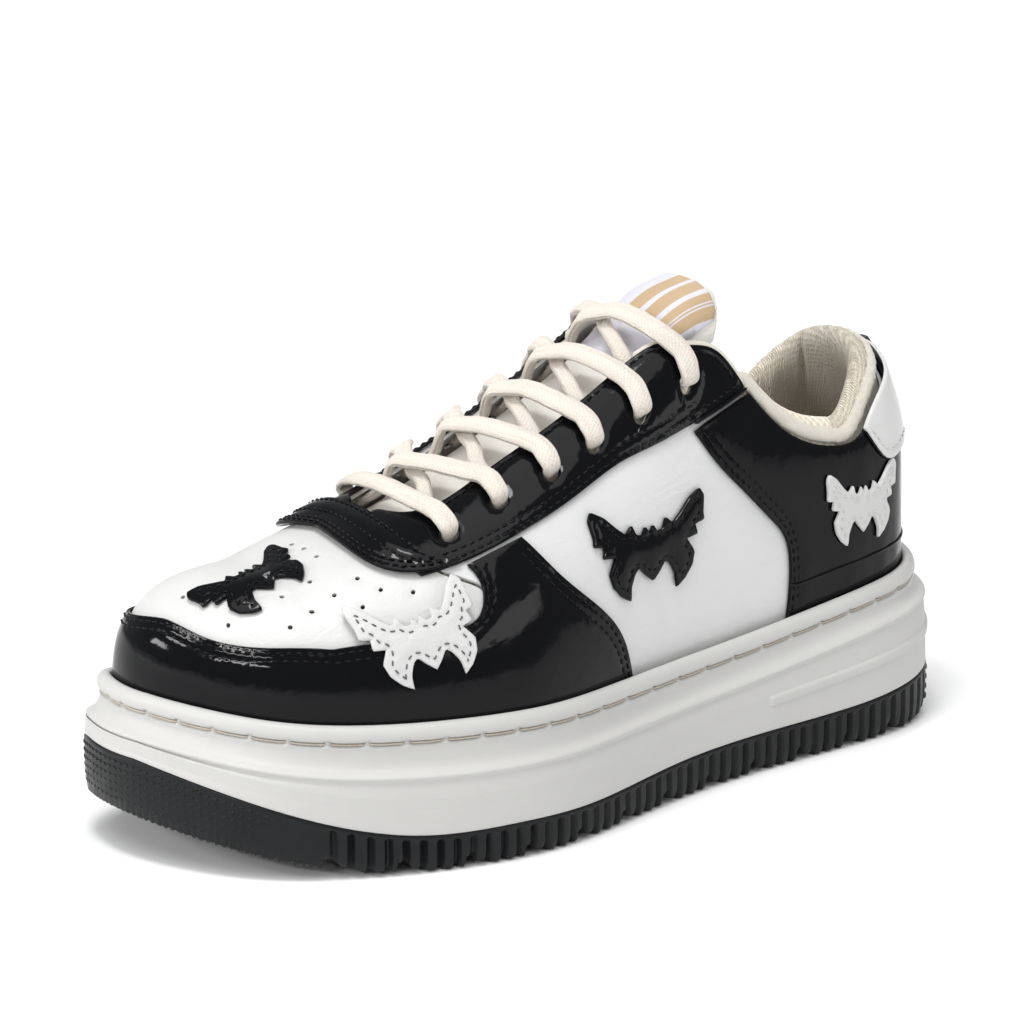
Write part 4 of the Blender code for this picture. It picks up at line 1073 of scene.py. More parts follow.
def build_studs():
    """Small raised studs round the toe and a blocked patch at the back of the heel."""
    verts = []
    faces = []

    def stud(centre, out, tangent, wide, tall, high):
        up = np.array([0.0, 0.0, 1.0])
        base = len(verts)
        for scale, lift in ((1.0, -0.15), (0.95, 0.35 * high), (0.55, 0.9 * high)):
            for a in np.arange(8) * PI / 4 + PI / 8:
                ca = math.copysign(abs(math.cos(a)) ** 0.7, math.cos(a))
                sa = math.copysign(abs(math.sin(a)) ** 0.7, math.sin(a))
                verts.append(centre + (tangent * wide * ca + up * tall * sa) * scale + out * lift)
        faces.extend(tuple(base + v for v in f) for f in tube_faces(3, 8))
        faces.append(tuple(base + 16 + i for i in range(8)))
        faces.append(tuple(base + i for i in reversed(range(8))))

    tangent = np.roll(EDGE_CURVE, -1, axis=0) - np.roll(EDGE_CURVE, 1, axis=0)
    tangent /= np.linalg.norm(tangent, axis=1)[:, None]
    every = int(round(2.35 / RING_STEP))
    for k in range(0, RING, every):
        s = RING_FROM_TOE[k]
        y = EDGE_CURVE[k, 1]
        out = np.array([*EDGE_OUT[k], 0.0])
        tan = np.array([*tangent[k], 0.0])
        if s < 26:
            top, low = float(seam(y)), float(ground(y))
            rows = int((top - low - 3.0) // 2.3)
            for j in range(rows):
                z = top - 2.3 - j * 2.3
                if s > 26 - j * 2.6 or (z - low) < 1.6:
                    continue
                share = (z - low) / (top - low)
                sink = 0.1 + 0.9 * (1 - share) ** 3
                centre = np.array([*(EDGE_CURVE[k] - EDGE_OUT[k] * sink), z])
                fade = min(1.0, (28 - s) / 14)
                long = 0.9 if s < 22 else 0.55
                stud(centre, out, tan, long, 0.62 * (0.6 + 0.4 * fade), 0.55 * (0.45 + 0.55 * fade))
        elif s > 275:
            top, low = float(seam(y)), float(ground(y))
            for j in range(int((top - low - 2.5) // 3.2)):
                z = top - 3.2 - j * 3.2
                centre = np.array([*(EDGE_CURVE[k] + EDGE_OUT[k] * -0.1), z])
                stud(centre, out, tan, 0.95, 1.25, 0.8)
    piece("outsole_studs", verts, faces, TREAD_RUBBER, sharp=50)


def build_cup():
    y = EDGE_CURVE[:, 1]
    low, mid, top = seam(y), ledge(y), foxing(y)
    phase = (RING_ARC / SIDEWALL_STITCH) % 1.0
    near = np.minimum(phase, 1 - phase) * SIDEWALL_STITCH
    hump = np.exp(-(near / 0.9) ** 2)
    sag = np.sin(PI * phase) * 0.35
    bar = np.clip((RING_FROM_TOE - 198) / 1.2, 0, 1) * 0.75
    bar_z = low + 0.53 * (mid - low)
    wall = mid - low
    rings = [sole_ring(-6.0, low + 0.02), sole_ring(-0.9, low), sole_ring(-0.15, low + 0.12),
             sole_ring(0.0, low + 0.6)]
    rings += [sole_ring(-0.1, low + wall * 0.20), sole_ring(-0.25, bar_z - 2.0),
              sole_ring(-0.3 + bar * 0.1, bar_z - 1.6), sole_ring(-0.3 + bar, bar_z - 1.35),
              sole_ring(-0.4 + bar, bar_z + 1.35), sole_ring(-0.4 + bar * 0.1, bar_z + 1.6),
              sole_ring(-0.45, bar_z + 2.0)]
    rings += [sole_ring(-0.8, low + wall * 0.80), sole_ring(-1.2, mid - 2.2),
              sole_ring(-1.35, mid - 1.4), sole_ring(-0.85, mid - 0.85),
              sole_ring(-0.55, mid - 0.1), sole_ring(-1.3, mid + 0.55),
              sole_ring(-2.9, mid + 1.2), sole_ring(-4.2, mid + 2.9),
              sole_ring(-4.9, top - 7.2 + hump * 0.2),
              sole_ring(-4.7 + hump * 0.4, top - 6.0 - sag * 0.5 + hump * 0.5),
              sole_ring(-5.9 + hump * 0.9, top - 5.55 - sag * 0.5 + hump * 0.5),
              sole_ring(-6.0 + hump * 0.9, top - 4.85 - sag * 0.3 + hump * 0.7),
              sole_ring(-4.5 + hump * 0.15, top - 4.45 - sag * 0.3 + hump * 0.8),
              sole_ring(-4.05, top - 3.5 + hump * 0.2), sole_ring(-4.2, top - 1.9),
              sole_ring(-4.9, top - 0.6), sole_ring(-6.0, top + 0.05),
              sole_ring(-7.3, top + 0.05), sole_ring(-8.1, top - 0.5),
              sole_ring(-8.2, top - 2.5), sole_ring(-8.3, top - 7.5), sole_ring(-8.5, top - 17.0)]
    rings = rounded(rings, 1)
    floor = capped(rings[0], lambda a, b: seam(b) + 0.02, 9.0, False)
    roof = capped(rings[-1], lambda a, b: foxing(b) - 17.0, 9.0, True)
    verts, faces = welded([(np.vstack(rings), tube_faces(len(rings), RING)), floor, roof])
    piece("cup_wall", verts, faces, CUP_RUBBER, replaces=("midsole_cup",), sharp=55)


def build_sidewall_thread():
    """Long stitches lying in the cup's groove, one end dipping under each hump."""
    y = EDGE_CURVE[:, 1]
    phase = (RING_ARC / SIDEWALL_STITCH) % 1.0
    near = np.minimum(phase, 1 - phase) * SIDEWALL_STITCH
    inner = -5.35 - 0.75 * np.exp(-(near / 0.8) ** 2)
    core = sole_ring(inner, foxing(y) - 5.15 - np.sin(PI * phase) * 0.15)
    rings = []
    for a in np.arange(7) * 2 * PI / 7:
        rings.append(core + np.column_stack([EDGE_OUT * 0.34 * math.cos(a),
                                             np.full(RING, 0.34 * math.sin(a))]))
    piece("sidewall_thread", np.vstack(rings), tube_faces(len(rings), RING, True), THREAD_TAN,
          replaces=("sidewall_stitch",), sharp=60)


def build_sockliner():
    """Soft footbed: crowned edge, a shallow heel cup and a slight arch rise."""
    y = EDGE_CURVE[:, 1]
    top = foxing(y)

    def crown(a, b):
        arch = 2.2 * np.exp(-((b - 25) / 45) ** 2) * np.clip(-(a + 2) / 26, 0, 1) ** 2
        bowl = -1.0 * np.exp(-((b - 95) / 30) ** 2) * np.exp(-(a / 18) ** 2)
        return foxing(b) - 0.9 + arch + bowl

    profile = ((-17.0, 6.3), (-15.6, 6.2), (-15.1, 4.6), (-15.4, 2.2), (-16.6, 1.1), (-19.0, 0.9))
    rings = rounded([sole_ring(off, top - down) for off, down in profile], 2)
    base = capped(rings[0], lambda a, b: foxing(b) - 6.3, 8.0, False)
    roof = capped(rings[-1], crown, 4.0, True)
    verts, faces = welded([(np.vstack(rings), tube_faces(len(rings), RING)), base, roof])
    pad = piece("sockliner_pad", verts, faces, SOCK_CLOTH, replaces=("sockliner",), sharp=60,
                pattern=verts)


build_outsole()
build_studs()
build_cup()
build_sidewall_thread()
build_sockliner()


# ------------------------------------------------------------------ upper, base layer
def hole_ring(x, y, radius, count=18):
    """Round hole on the surface, as a loop in the pattern."""
    e = 0.5
    du = np.linalg.norm(form(x + e, y) - form(x - e, y)) / (2 * e)
    dv = np.linalg.norm(form(x, y + e) - form(x, y - e)) / (2 * e)
    a = np.arange(count) * 2 * PI / count
    return np.column_stack([x + radius / du * np.cos(a), y + radius / dv * np.sin(a)])


EYELETS_IN = inner_side(EYELETS)
HOLES_OUT = [hole_ring(x, y, EYELET_RADIUS) for x, y in EYELETS]
HOLES_IN = [hole_ring(x, y, EYELET_RADIUS) for x, y in EYELETS_IN]

# punched breathing holes of the toe box, pattern coordinates of the outer half
PERFORATIONS = ((-0.5, -123.9), (21, -122.3), (33.5, -106.6), (23.3, -112.8), (31.2, -98.5),
                (38.2, -85.6), (30.2, -90.6), (36.5, -78.5), (42.5, -70.5), (29.2, -82.1),
                (21.4, -93.2), (22.8, -102.8), (-0.4, -85), (5.5, -84.7), (12.7, -85.1))
PERFORATION_RADIUS = 0.78

VAMP_T = ray_of(-47.0)
QUARTER_T = ray_of(-45.8)
vamp_back = bend([rim(VAMP_T, 1, HEM), (70, -47), (55, -50), (43, -60), (24, -66), (0, -68)])
off_ridge = [p for p in PERFORATIONS if p[0] > 14]
punched = [hole_ring(x, y, PERFORATION_RADIUS, 10)
           for x, y in list(PERFORATIONS) + inner_side(off_ridge)]
panel("vamp_leather", [
    rim_path(VAMP_T, 0.0, -1, HEM, 24)[:-1] + rim_path(0.0, VAMP_T, 1, HEM, 24),
    across(vamp_back),
], BASE_TOP, VAMP_WHITE, "vamp", holes=punched, wave=0.10, wave_size=34, seed=3, edge=0.3,
      lattice=2.8)

quarter_front = bend([(17.5, -59.5), (25, -64), (43.5, -58.4), (55.5, -48.6), (70, -45.6),
                      rim(QUARTER_T, 1, HEM)])
quarter_top = bend([(17.5, -59.5), (22.5, -50), (24, -36), (27, -15), (30, 1), (33, 18), (36, 26.5),
                    (41, 32.5), (47, 37.5), (55, 46.5), (62.5, 52.5), (69, 57), (75.5, 66), (80.6, 78),
                    (82.2, 90), (78, 114), (63.6, 136.6), (34, 158), (0.6, 164)])
quarter_runs = [
    quarter_front,
    rim_path(QUARTER_T, 2.995, 1, HEM, 40),
    [rim(2.995, 1, HEM), quarter_top[-1]],
    quarter_top[::-1],
]


def pair(name, node, runs, top, look, seed, holes=True, rows=(), **settings):
    """One pattern piece on the outer and on the inner side, each with its own unevenness."""
    for label, lay, punch, sewn, drift in (("_outer", runs, HOLES_OUT, rows, seed),
                                           ("_inner", both(runs), HOLES_IN, both(rows), seed + 1)):
        panel(name + label, lay, top, look, node + label, holes=punch if holes else (),
              rows=sewn, seed=drift, **settings)


pair("quarter_leather", "quarter", quarter_runs, BASE_TOP, LEATHER_WHITE, 5,
     wave=0.16, wave_size=30, lattice=2.8)

# ------------------------------------------------------------------ upper, overlays
eyestay_inner = bend([(8, -61), (17, -57), (21, -50), (22.5, -36), (25.5, -15), (28.5, 1), (31.5, 18),
                      (34.5, 27), (39, 33), (45.3, 37.8), (53.8, 48.0), (61.0, 53.6), (66.4, 57.2)])
eyestay_seam = bend([(66.4, 57.2), (67.2, 47), (65.3, 34.6)])
eyestay_lower = bend([(65.3, 34.6), (61, 21.6), (55.4, 6.8), (51.5, -14), (47.2, -35), (43.2, -54),
                      (40, -66.5)])
eyestay_runs = [
    eyestay_inner,
    eyestay_seam,
    eyestay_lower,
    bend([(40, -66.5), (24, -70), (8, -70)]),
    [(8, -70), (8, -61)],
]


def inset_rows(run, distances, outline):
    """Stitch rows a set distance inside one edge of a pattern piece."""
    out = []
    for by in distances:
        p = offset_run(run, by)
        if inside(p, outline).mean() < 0.5:
            p = offset_run(run, -by)
        good = inside(p, outline) & (distance_to(p, outline, True)[0] > by * 0.75)
        cuts = np.where(np.diff(good.astype(int)) != 0)[0] + 1
        parts = [q for q, g in zip(np.split(p, cuts), np.split(good, cuts)) if g[0]]
        out.append(max(parts, key=len))
    return out


eyestay_shape = ring_of(eyestay_runs, 2.0)
eyestay_rows = inset_rows(eyestay_lower, (1.5, 3.9), eyestay_shape)
eyestay_rows += inset_rows(eyestay_inner[8:], (2.0,), eyestay_shape)
eyestay_rows += inset_rows(eyestay_seam, (1.8,), eyestay_shape)


pair("eyestay_patent", "eyestay", eyestay_runs, OVERLAY_TOP, PATENT_BLACK, 11,
     rows=eyestay_rows, wave=0.14, puff=0.15)

MUD_T = ray_of(3.3)
mud_back = bend([rim(MUD_T, 1, HEM), (94.5, -0.7), (82.3, -10), (65.4, -24.6), (48.9, -33.2)])
mud_side = bend([(48.9, -33.2), (46.4, -44), (44.9, -52.5)])
mud_lip = bend([(44.9, -52.5), (53, -51), (59.5, -54.5), (59, -63), (54, -77), (45.5, -95),
                (33.3, -118.5), (17, -129.8), (0, -132)])
mud_edge = across(mud_lip)
mud_runs = [
    rim_path(MUD_T, 0.0, -1, HEM, 34)[:-1] + rim_path(0.0, MUD_T, 1, HEM, 34),
    mud_back,
    mud_side,
    mud_edge,
    inner_side(mud_side)[::-1],
    inner_side(mud_back)[::-1],
]
mud_shape = ring_of(mud_runs, 2.0)
mud_rows = inset_rows(mud_edge, (1.5, 3.6), mud_shape)
mud_back_rows = inset_rows(mud_back, (1.6, 3.6), mud_shape)
mud_rows += mud_back_rows + both(mud_back_rows)
panel("mudguard_patent", mud_runs, OVERLAY_TOP, PATENT_BLACK, "mudguard", rows=mud_rows,
      wave=0.12, wave_size=34, seed=21, puff=0.25)

HEEL_T = ray_of(69.4)
heel_front = bend([(67.2, 34.8), (78, 42.9), (86.8, 53.6), (93.3, 63.6), (98, 69.6), (105.6, 71.0),
                   rim(HEEL_T, 1, HEM)])
heel_top = bend([(67.7, 58.4), (73.9, 66), (78.9, 78), (80.4, 90), (77, 113), (62.6, 135.2),
                 (34, 156.2), (5.4, 162.8)])
heel_runs = [
    bend([(67.7, 58.4), (68.5, 47), (67.2, 34.8)]),
    heel_front,
    rim_path(HEEL_T, 2.955, 1, HEM, 30),
    [rim(2.955, 1, HEM), (5.4, 162.8)],
    heel_top[::-1],
]
heel_rows = inset_rows(heel_front, (1.5, 3.3), ring_of(heel_runs, 2.0))
pair("heel_patent", "heel_quarter", heel_runs, OVERLAY_TOP, PATENT_BLACK, 31, holes=False,
     rows=heel_rows, wave=0.14, wave_size=30, puff=0.15)

STRIP_HALF = 4.6
low_y = rim(2.999, 1, HEM)[1]
strip_rows = [spaced([(x, 164.0), (x, low_y - 6)], 1.5) for x in (-2.9, 2.9)]
panel("back_strip_patent", [
    [(-STRIP_HALF, 163), (STRIP_HALF, 163)],
    [(STRIP_HALF, 163), (STRIP_HALF, low_y)],
    [(STRIP_HALF, low_y), (-STRIP_HALF, low_y)],
    [(-STRIP_HALF, low_y), (-STRIP_HALF, 163)],
], OVERLAY_TOP, PATENT_WHITE, "back_strip", rows=strip_rows, puff=0.2)

bar_front = bend([(43.2, -53.6), (39, -67), (30, -76.5), (17, -78.6), (0, -77)])
bar_back = bend([(43.2, -53.6), (36, -61.5), (20, -64.5), (0, -64)])
bar_fold = bend([(41.0, -58.5), (34, -68.2), (18, -71.6), (0, -70.8)])
bar_front_all = across(bar_front)
bar_back_all = across(bar_back)
fold_line = offset_run(across(bar_fold), 0.0)
bar_runs = [bar_front_all, bar_back_all[::-1]]
bar_shape = ring_of(bar_runs, 2.0)
bar_rows = inset_rows(bar_front_all, (1.4, 3.0), bar_shape)
bar_rows += inset_rows(bar_back_all, (1.5,), bar_shape) + [fold_line[3:-3]]


def bar_height(x, y):
    """Two overlapping plies: the rear one steps up at the fold line."""
    pts = np.column_stack([x, y])
    gap = distance_to(pts, fold_line)[0]
    i = np.array([np.hypot(*(fold_line - p).T).argmin() for p in pts])
    behind = np.sign(y - fold_line[i, 1])
    fade = np.clip((41 - np.abs(x)) / 6, 0, 1)
    return TRIM_TOP + 0.35 * np.clip(behind * gap / 0.8, -1, 1) * fade


panel("throat_bar_patent", bar_runs, TRIM_TOP, PATENT_BLACK, "throat_bar", rows=bar_rows,
      wave=0.10, wave_size=18, seed=41, shape=bar_height, lattice=1.9, puff=0.2)

tab_top = bend([(74.5, 116.5), (61.2, 134.3), (34, 154.8), (0, 161.6)])
tab_low = bend([(74.5, 116.5), (73.2, 137.0), (52, 162), (24, 177), (0, 181)])
tab_low_all = across(tab_low)
tab_runs = [tab_low_all, across(tab_top)[::-1]]
tab_rows = inset_rows(tab_low_all, (1.8,), ring_of(tab_runs, 2.0))
panel("heel_tab_patent", tab_runs, TRIM_TOP, PATENT_WHITE, "heel_tab", rows=tab_rows, wave=0.10,
      seed=51, puff=0.2)

PULL_HALF = 4.5
PULL_TOP = 161.5
PULL_LOW = 174.0


def pull_height(x, y):
    """The webbing stands off the tab in a shallow bow."""
    return TRIM_TOP + 2.0 + 0.9 * np.sin(np.clip((y - PULL_TOP) / 12.5, 0, 1) * PI)


panel("pull_tab_webbing", [
    [(-PULL_HALF, PULL_TOP), (PULL_HALF, PULL_TOP)],
    [(PULL_HALF, PULL_TOP), (PULL_HALF, PULL_LOW)],
    [(PULL_HALF, PULL_LOW), (-PULL_HALF, PULL_LOW)],
    [(-PULL_HALF, PULL_LOW), (-PULL_HALF, PULL_TOP)],
], TRIM_TOP + 2.0, WEBBING, "pull_tab", skin=1.7, lattice=1.6, edge=0.6, shape=pull_height)


def piping(name, run, off, radius):
    """Thin black roll along a seam."""
    core, up = laid(spaced(run, 1.2), off)
    rope(name, core, up, radius, radius, PATENT_BLACK, 10, 2.0)


piping("tab_edge_piping", offset_run(tab_low_all, 0.0)[1:-1], 0.45, 0.55)
seam_run = offset_run(eyestay_seam, 0.0)
piping("eyestay_piping_outer", seam_run, 0.35, 0.75)
piping("eyestay_piping_inner", inner_side(seam_run), 0.35, 0.75)
for side, label in ((1, "outer"), (-1, "inner")):
    foot_run = [rim(t, side, 0.915) for t in np.linspace(HEEL_T + 0.005, 2.95, 60)]
    piping("heel_foot_piping_" + label, foot_run, -0.1, 0.75)

# ------------------------------------------------------------------ thread of the overlays
stitches("thread_mudguard", mud_rows, OVERLAY_TOP + 0.05, THREAD_BLACK)
for name, node, rows in (("thread_eyestay_", "eyestay_", eyestay_rows),
                         ("thread_heel_", "heel_quarter_", heel_rows)):
    for label, sewn in (("outer", rows), ("inner", both(rows))):
        stitches(name + label, sewn, OVERLAY_TOP + 0.05, THREAD_BLACK)
stitches("thread_throat_bar", bar_rows, 0.0, THREAD_BLACK, pitch=2.6, length=2.0,
         shape=lambda x, y: bar_height(x, y) + 0.1)
stitches("thread_heel_tab", tab_rows, TRIM_TOP + 0.1, THREAD_WHITE, radius=0.24)
stitches("thread_back_strip", strip_rows, OVERLAY_TOP + 0.1, THREAD_WHITE,
         radius=0.22)

# ------------------------------------------------------------------ lining and collar
lining_in = bend([(0, -70), (30, -68), (43, -54), (46, -34), (51, -15), (55.5, 1), (61, 18), (68, 34),
                  (78, 46), (90, 62), (100, 80), (103, 95)])
lining_in += bend([rim(2.12, 1, 0.90), rim(2.5, 1, 0.875), rim(2.8, 1, 0.865), rim(3.0, 1, 0.86)])
lining_hole = lining_in[:-1] + inner_side(lining_in[1:])[::-1]
lining_rim = rim_path(0.0, 3.0, 1, 0.965, 90)[:-1] + rim_path(3.0, 0.0, -1, 0.965, 90)
panel("lining_knit", [lining_rim], LINING_TOP, LINING_KNIT, "lining", skin=0.8,
      holes=[ring_of([lining_hole + lining_hole[:1]], 2.5)], lattice=4.5, step=2.5, edge=0.3)


def pad_line(t):
    """Top edge of the collar as (ray, distance out from the ridge)."""
    ts = (1.815, 1.86, 1.92, 2.0, 2.12, 2.3, 2.5, 2.75, 3.0)
    rs = (65.0, 72.5, 78.4, 80.8, 80.2, 76.4, 73.0, 70.4, 69.4)
    return float(cubic(t, ts, rs))


def pad_frame(t, side):
    """Pattern points of the collar's top edge and of one millimetre further down."""
    g = rim(t, 1, 1.0)
    full = math.hypot(g[0], g[1] - HEEL_PIVOT) if t > 2 else g[0]
    top = np.array(rim(t, side, pad_line(t) / full))
    low = np.array(rim(t, side, (pad_line(t) + 10.0) / full))
    return top, (low - top) / 10.0


# section of the collar: height off the form, distance down from its top edge
PAD_PROFILE = ((-3.0, 17), (-3.0, 9), (-2.9, 2), (-2.6, -1.6), (-3.4, -4.2), (-5.4, -5.9),
               (-8.2, -5.4), (-10.4, -2.6), (-11.2, 2.0), (-10.9, 7), (-9.0, 12.5), (-6.0, 16.8))
PAD_START = 1.815


def collar_stops(count):
    """Places round the opening, from the outer side over the heel to the inner side."""
    stops = [(t, 1) for t in np.linspace(PAD_START, 3.0, count)]
    return stops + [(t, -1) for t in np.linspace(3.0, PAD_START, count)[1:]]


def build_collar():
    """Foam-filled collar: a closed section swept round the opening, plump between its seams."""
    stops = collar_stops(120)
    section_pts = closed_spline(PAD_PROFILE, 40)
    px, py, off, flat = [], [], [], []
    walk = 0.0
    for t, side in stops:
        share = min(1.0, 0.45 + 6.0 * (t - PAD_START))
        close = math.sqrt(max(0.02, 1 - (1 - min(1.0, (t - PAD_START) / 0.03)) ** 2))
        top, down = pad_frame(t, side)
        crease = 0.9 * math.exp(-((t - 2.62) / 0.035) ** 2)
        crease += 0.5 * math.exp(-((t - 2.2) / 0.05) ** 2)
        lump = 0.35 * math.sin(t * 31 + side) + 0.25 * math.sin(t * 53 + 2 * side)
        for o, d in section_pts:
            d2 = (d - 4.0) * close + 4.0
            d2 = d2 * (share if d2 > 0 else 1.0)
            o2 = o * 0.6 - 1.4 + (o * 0.4 + 1.4) * share
            o2 = -5.5 + (o2 + 5.5) * close
            inner = max(0.0, (-o - 7.5) / 4.0)
            p = top + down * d2
            px.append(p[0])
            py.append(p[1])
            off.append(o2 + inner * (crease * 1.6 - lump * 0.5))
            flat.append((walk, d, 0.0))
        walk += 1.55
    verts = lifted(np.array(px), np.array(py), np.array(off))
    n = len(section_pts)
    faces = [(a, d, c, b) for a, b, c, d in tube_faces(len(stops), n)]
    faces.append(tuple(range(n)))
    faces.append(tuple((len(stops) - 1) * n + i for i in reversed(range(n))))
    pad = piece("collar_pad", verts, faces, LINING_KNIT, replaces=("collar_padding",),
                pattern=flat, sharp=70)


build_collar()


def build_collar_edge():
    """Cream fleece strip that shows between the patent edge and the knit lining."""
    pts = np.array([top - down * 2.2
                    for top, down in (pad_frame(t, side) for t, side in collar_stops(220))])
    core, up = laid(pts, -2.3)
    rng = np.random.default_rng(7)
    rough = rng.uniform(0.86, 1.16, (len(pts) * 2, 16))

    def lump(t, a):
        return rough[int(t * 1.1) % len(rough), int(a * 16 / (2 * PI)) % 16]

    rope("collar_edge_strip", core, up, 2.3, 1.25, EDGE_FLEECE, 16, 2.0,
         lump=lump)


build_collar_edge()


def build_eyestay_edge(label, run):
    """The same fleece strip, carried forward round the top of each eyestay."""
    core, up = laid(run, -1.75)
    rope("eyestay_edge_strip_" + label, core, up, 1.7, 1.5, EDGE_FLEECE, 12, 2.0)


strip_run = offset_run(eyestay_inner[-26:], 0.0)
build_eyestay_edge("outer", strip_run)
build_eyestay_edge("inner", np.array(inner_side(strip_run)))


# ------------------------------------------------------------------ tongue
def tongue_offset(x, y):
    rise = np.clip((y - 22) / 26, 0, 1)
    rise = rise * rise * (3 - 2 * rise)
    throat = np.interp(y, (0, 27, 33, 38, 48, 57), (27, 33, 38, 44, 52.5, 60))
    arch = np.clip(1 - (np.abs(x) / throat) ** 4, 0, 1)
    return TONGUE_TOP + 4.6 * rise * arch


TONGUE_LOW = -66.0
TONGUE_HIGH = 58.0


def tongue_half(y):
    """Half width of the tongue, rounded off at its top corners."""
    return np.interp(y, (-66, -40, 0, 30, 40, 50, 54, 56.4, 57.4, 58.0),
                     (17, 27, 36, 43, 49, 53.5, 52.5, 47, 41, 31))


BLEND_FROM = lifted(0.0, 31.0, TONGUE_TOP)
BLEND_TO = lifted(0.0, 45.0, TONGUE_TOP)


def two_faced(x, y, upper, lower):
    """Points and faces of a sheet with two faces, joined round its edge."""
    grid = np.arange(x.size).reshape(x.shape)
    n_cols = x.shape[1]
    n = x.size
    faces = []
    for a in grid[:-1, :-1].ravel():
        b = a + n_cols
        faces += [(a, a + 1, b + 1, b), (a + n, b + n, b + 1 + n, a + 1 + n)]
    rim_ids = [*grid[0], *grid[1:, -1], *grid[-1, -2::-1], *grid[-2:0:-1, 0]]
    faces += [(b, a, a + n, b + n) for a, b in zip(rim_ids, rim_ids[1:] + rim_ids[:1])]
    return np.vstack([lifted(x.ravel(), y.ravel(), off.ravel()) for off in (upper, lower)]), faces


def build_tongue():
    """One padded tongue: leather outside, foam inside, thin at its sewn edge."""
    rows = np.concatenate([np.linspace(TONGUE_LOW, 50, 96), np.linspace(51, TONGUE_HIGH, 28)])
    cols = np.sin(np.linspace(-1, 1, 61) * PI / 2)
    gx, y = np.meshgrid(cols, rows)
    half = tongue_half(y)
    x = gx * half
    mid = tongue_offset(x, y)
    end = np.clip((TONGUE_HIGH - y) / 4.0, 0, 1)
    body = np.sqrt(np.clip(1 - np.abs(gx) ** 8, 0, 1)) * np.sqrt(np.clip(1 - (1 - end) ** 2, 0.0, 1))
    seam_in = 0.55 * np.exp(-((np.abs(x) - (half - 5.0)) / 0.9) ** 2)
    crown = 0.35 * ripple(x, y, 26, 61)
    upper = mid + (crown - seam_in) * body - 0.9 * (1 - body)
    lower = mid - 3.2 * body - 0.9 * (1 - body) - 0.5 * body * np.clip((y + 20) / 50, 0, 1)
    verts, faces = two_faced(x, y, upper, lower)
    tongue = piece("tongue_padded", verts, faces, TONGUE_WHITE, body=None,
                   replaces=("tongue", "tongue_flap"), pattern=twofold(x, y), sharp=60)
    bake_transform(tongue)


build_tongue()


def build_label():
    """Woven label over the upper tongue, shaped to its curve."""
    rows = np.linspace(21, 56.0, 48)
    cols = np.linspace(-1, 1, 33)
    gx, y = np.meshgrid(cols, rows)
    x = gx * np.minimum(tongue_half(y) - 5.0, 46.0)
    lift = tongue_offset(x, y) + 0.35 * ripple(x, y, 26, 61)
    edge = np.minimum(np.minimum(1 - np.abs(gx), (y - rows[0]) / 6), (rows[-1] - y) / 6)
    up = lift + 0.75 * np.clip(edge / 0.06, 0, 1) ** 0.5
    verts, faces = two_faced(x, y, up, lift - 0.25)
    label = piece("label_woven", verts, faces, LABEL, body=None,
                  replaces=("tongue_label",), pattern=twofold(x, -y), sharp=60)
    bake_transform(label)


build_label()


# ------------------------------------------------------------------ butterfly patches
def solve_on(targets, axes, guess):
    """Pattern points whose places on the form match two coordinates, by Newton steps."""
    want = np.asarray(targets, float)
    probe = 0.2
    g = np.tile(np.array(guess, float), (len(want), 1))
    for _ in range(40):
        p = form(g[:, 0], g[:, 1])[:, axes]
        jx = (form(g[:, 0] + probe, g[:, 1])[:, axes] - p) / probe
        jy = (form(g[:, 0], g[:, 1] + probe)[:, axes] - p) / probe
        miss = want - p
        det = jx[:, 0] * jy[:, 1] - jx[:, 1] * jy[:, 0]
        det = np.where(np.abs(det) < 1e-4, 1e-4, det)
        move = np.column_stack([(miss[:, 0] * jy[:, 1] - miss[:, 1] * jy[:, 0]) / det,
                                (jx[:, 0] * miss[:, 1] - jx[:, 1] * miss[:, 0]) / det])
        size = np.linalg.norm(move, axis=1)
        g += move * np.minimum(1.0, 5.0 / np.maximum(size, 1e-9))[:, None]
    return g


# right half of one jagged butterfly, span 1 to each side, head up
WING = ((0.0, 0.20), (0.07, 0.34), (0.14, 0.19), (0.24, 0.22), (0.30, 0.42), (0.42, 0.27),
        (0.56, 0.42), (0.74, 0.66), (0.93, 0.80), (1.0, 0.66), (0.97, 0.34), (0.99, 0.18),
        (0.82, 0.14), (0.86, -0.06), (0.66, -0.10), (0.79, -0.36), (0.74, -0.62), (0.60, -0.84),
        (0.44, -0.98), (0.42, -0.70), (0.33, -0.48), (0.24, -0.40), (0.12, -0.58), (0.0, -0.72))


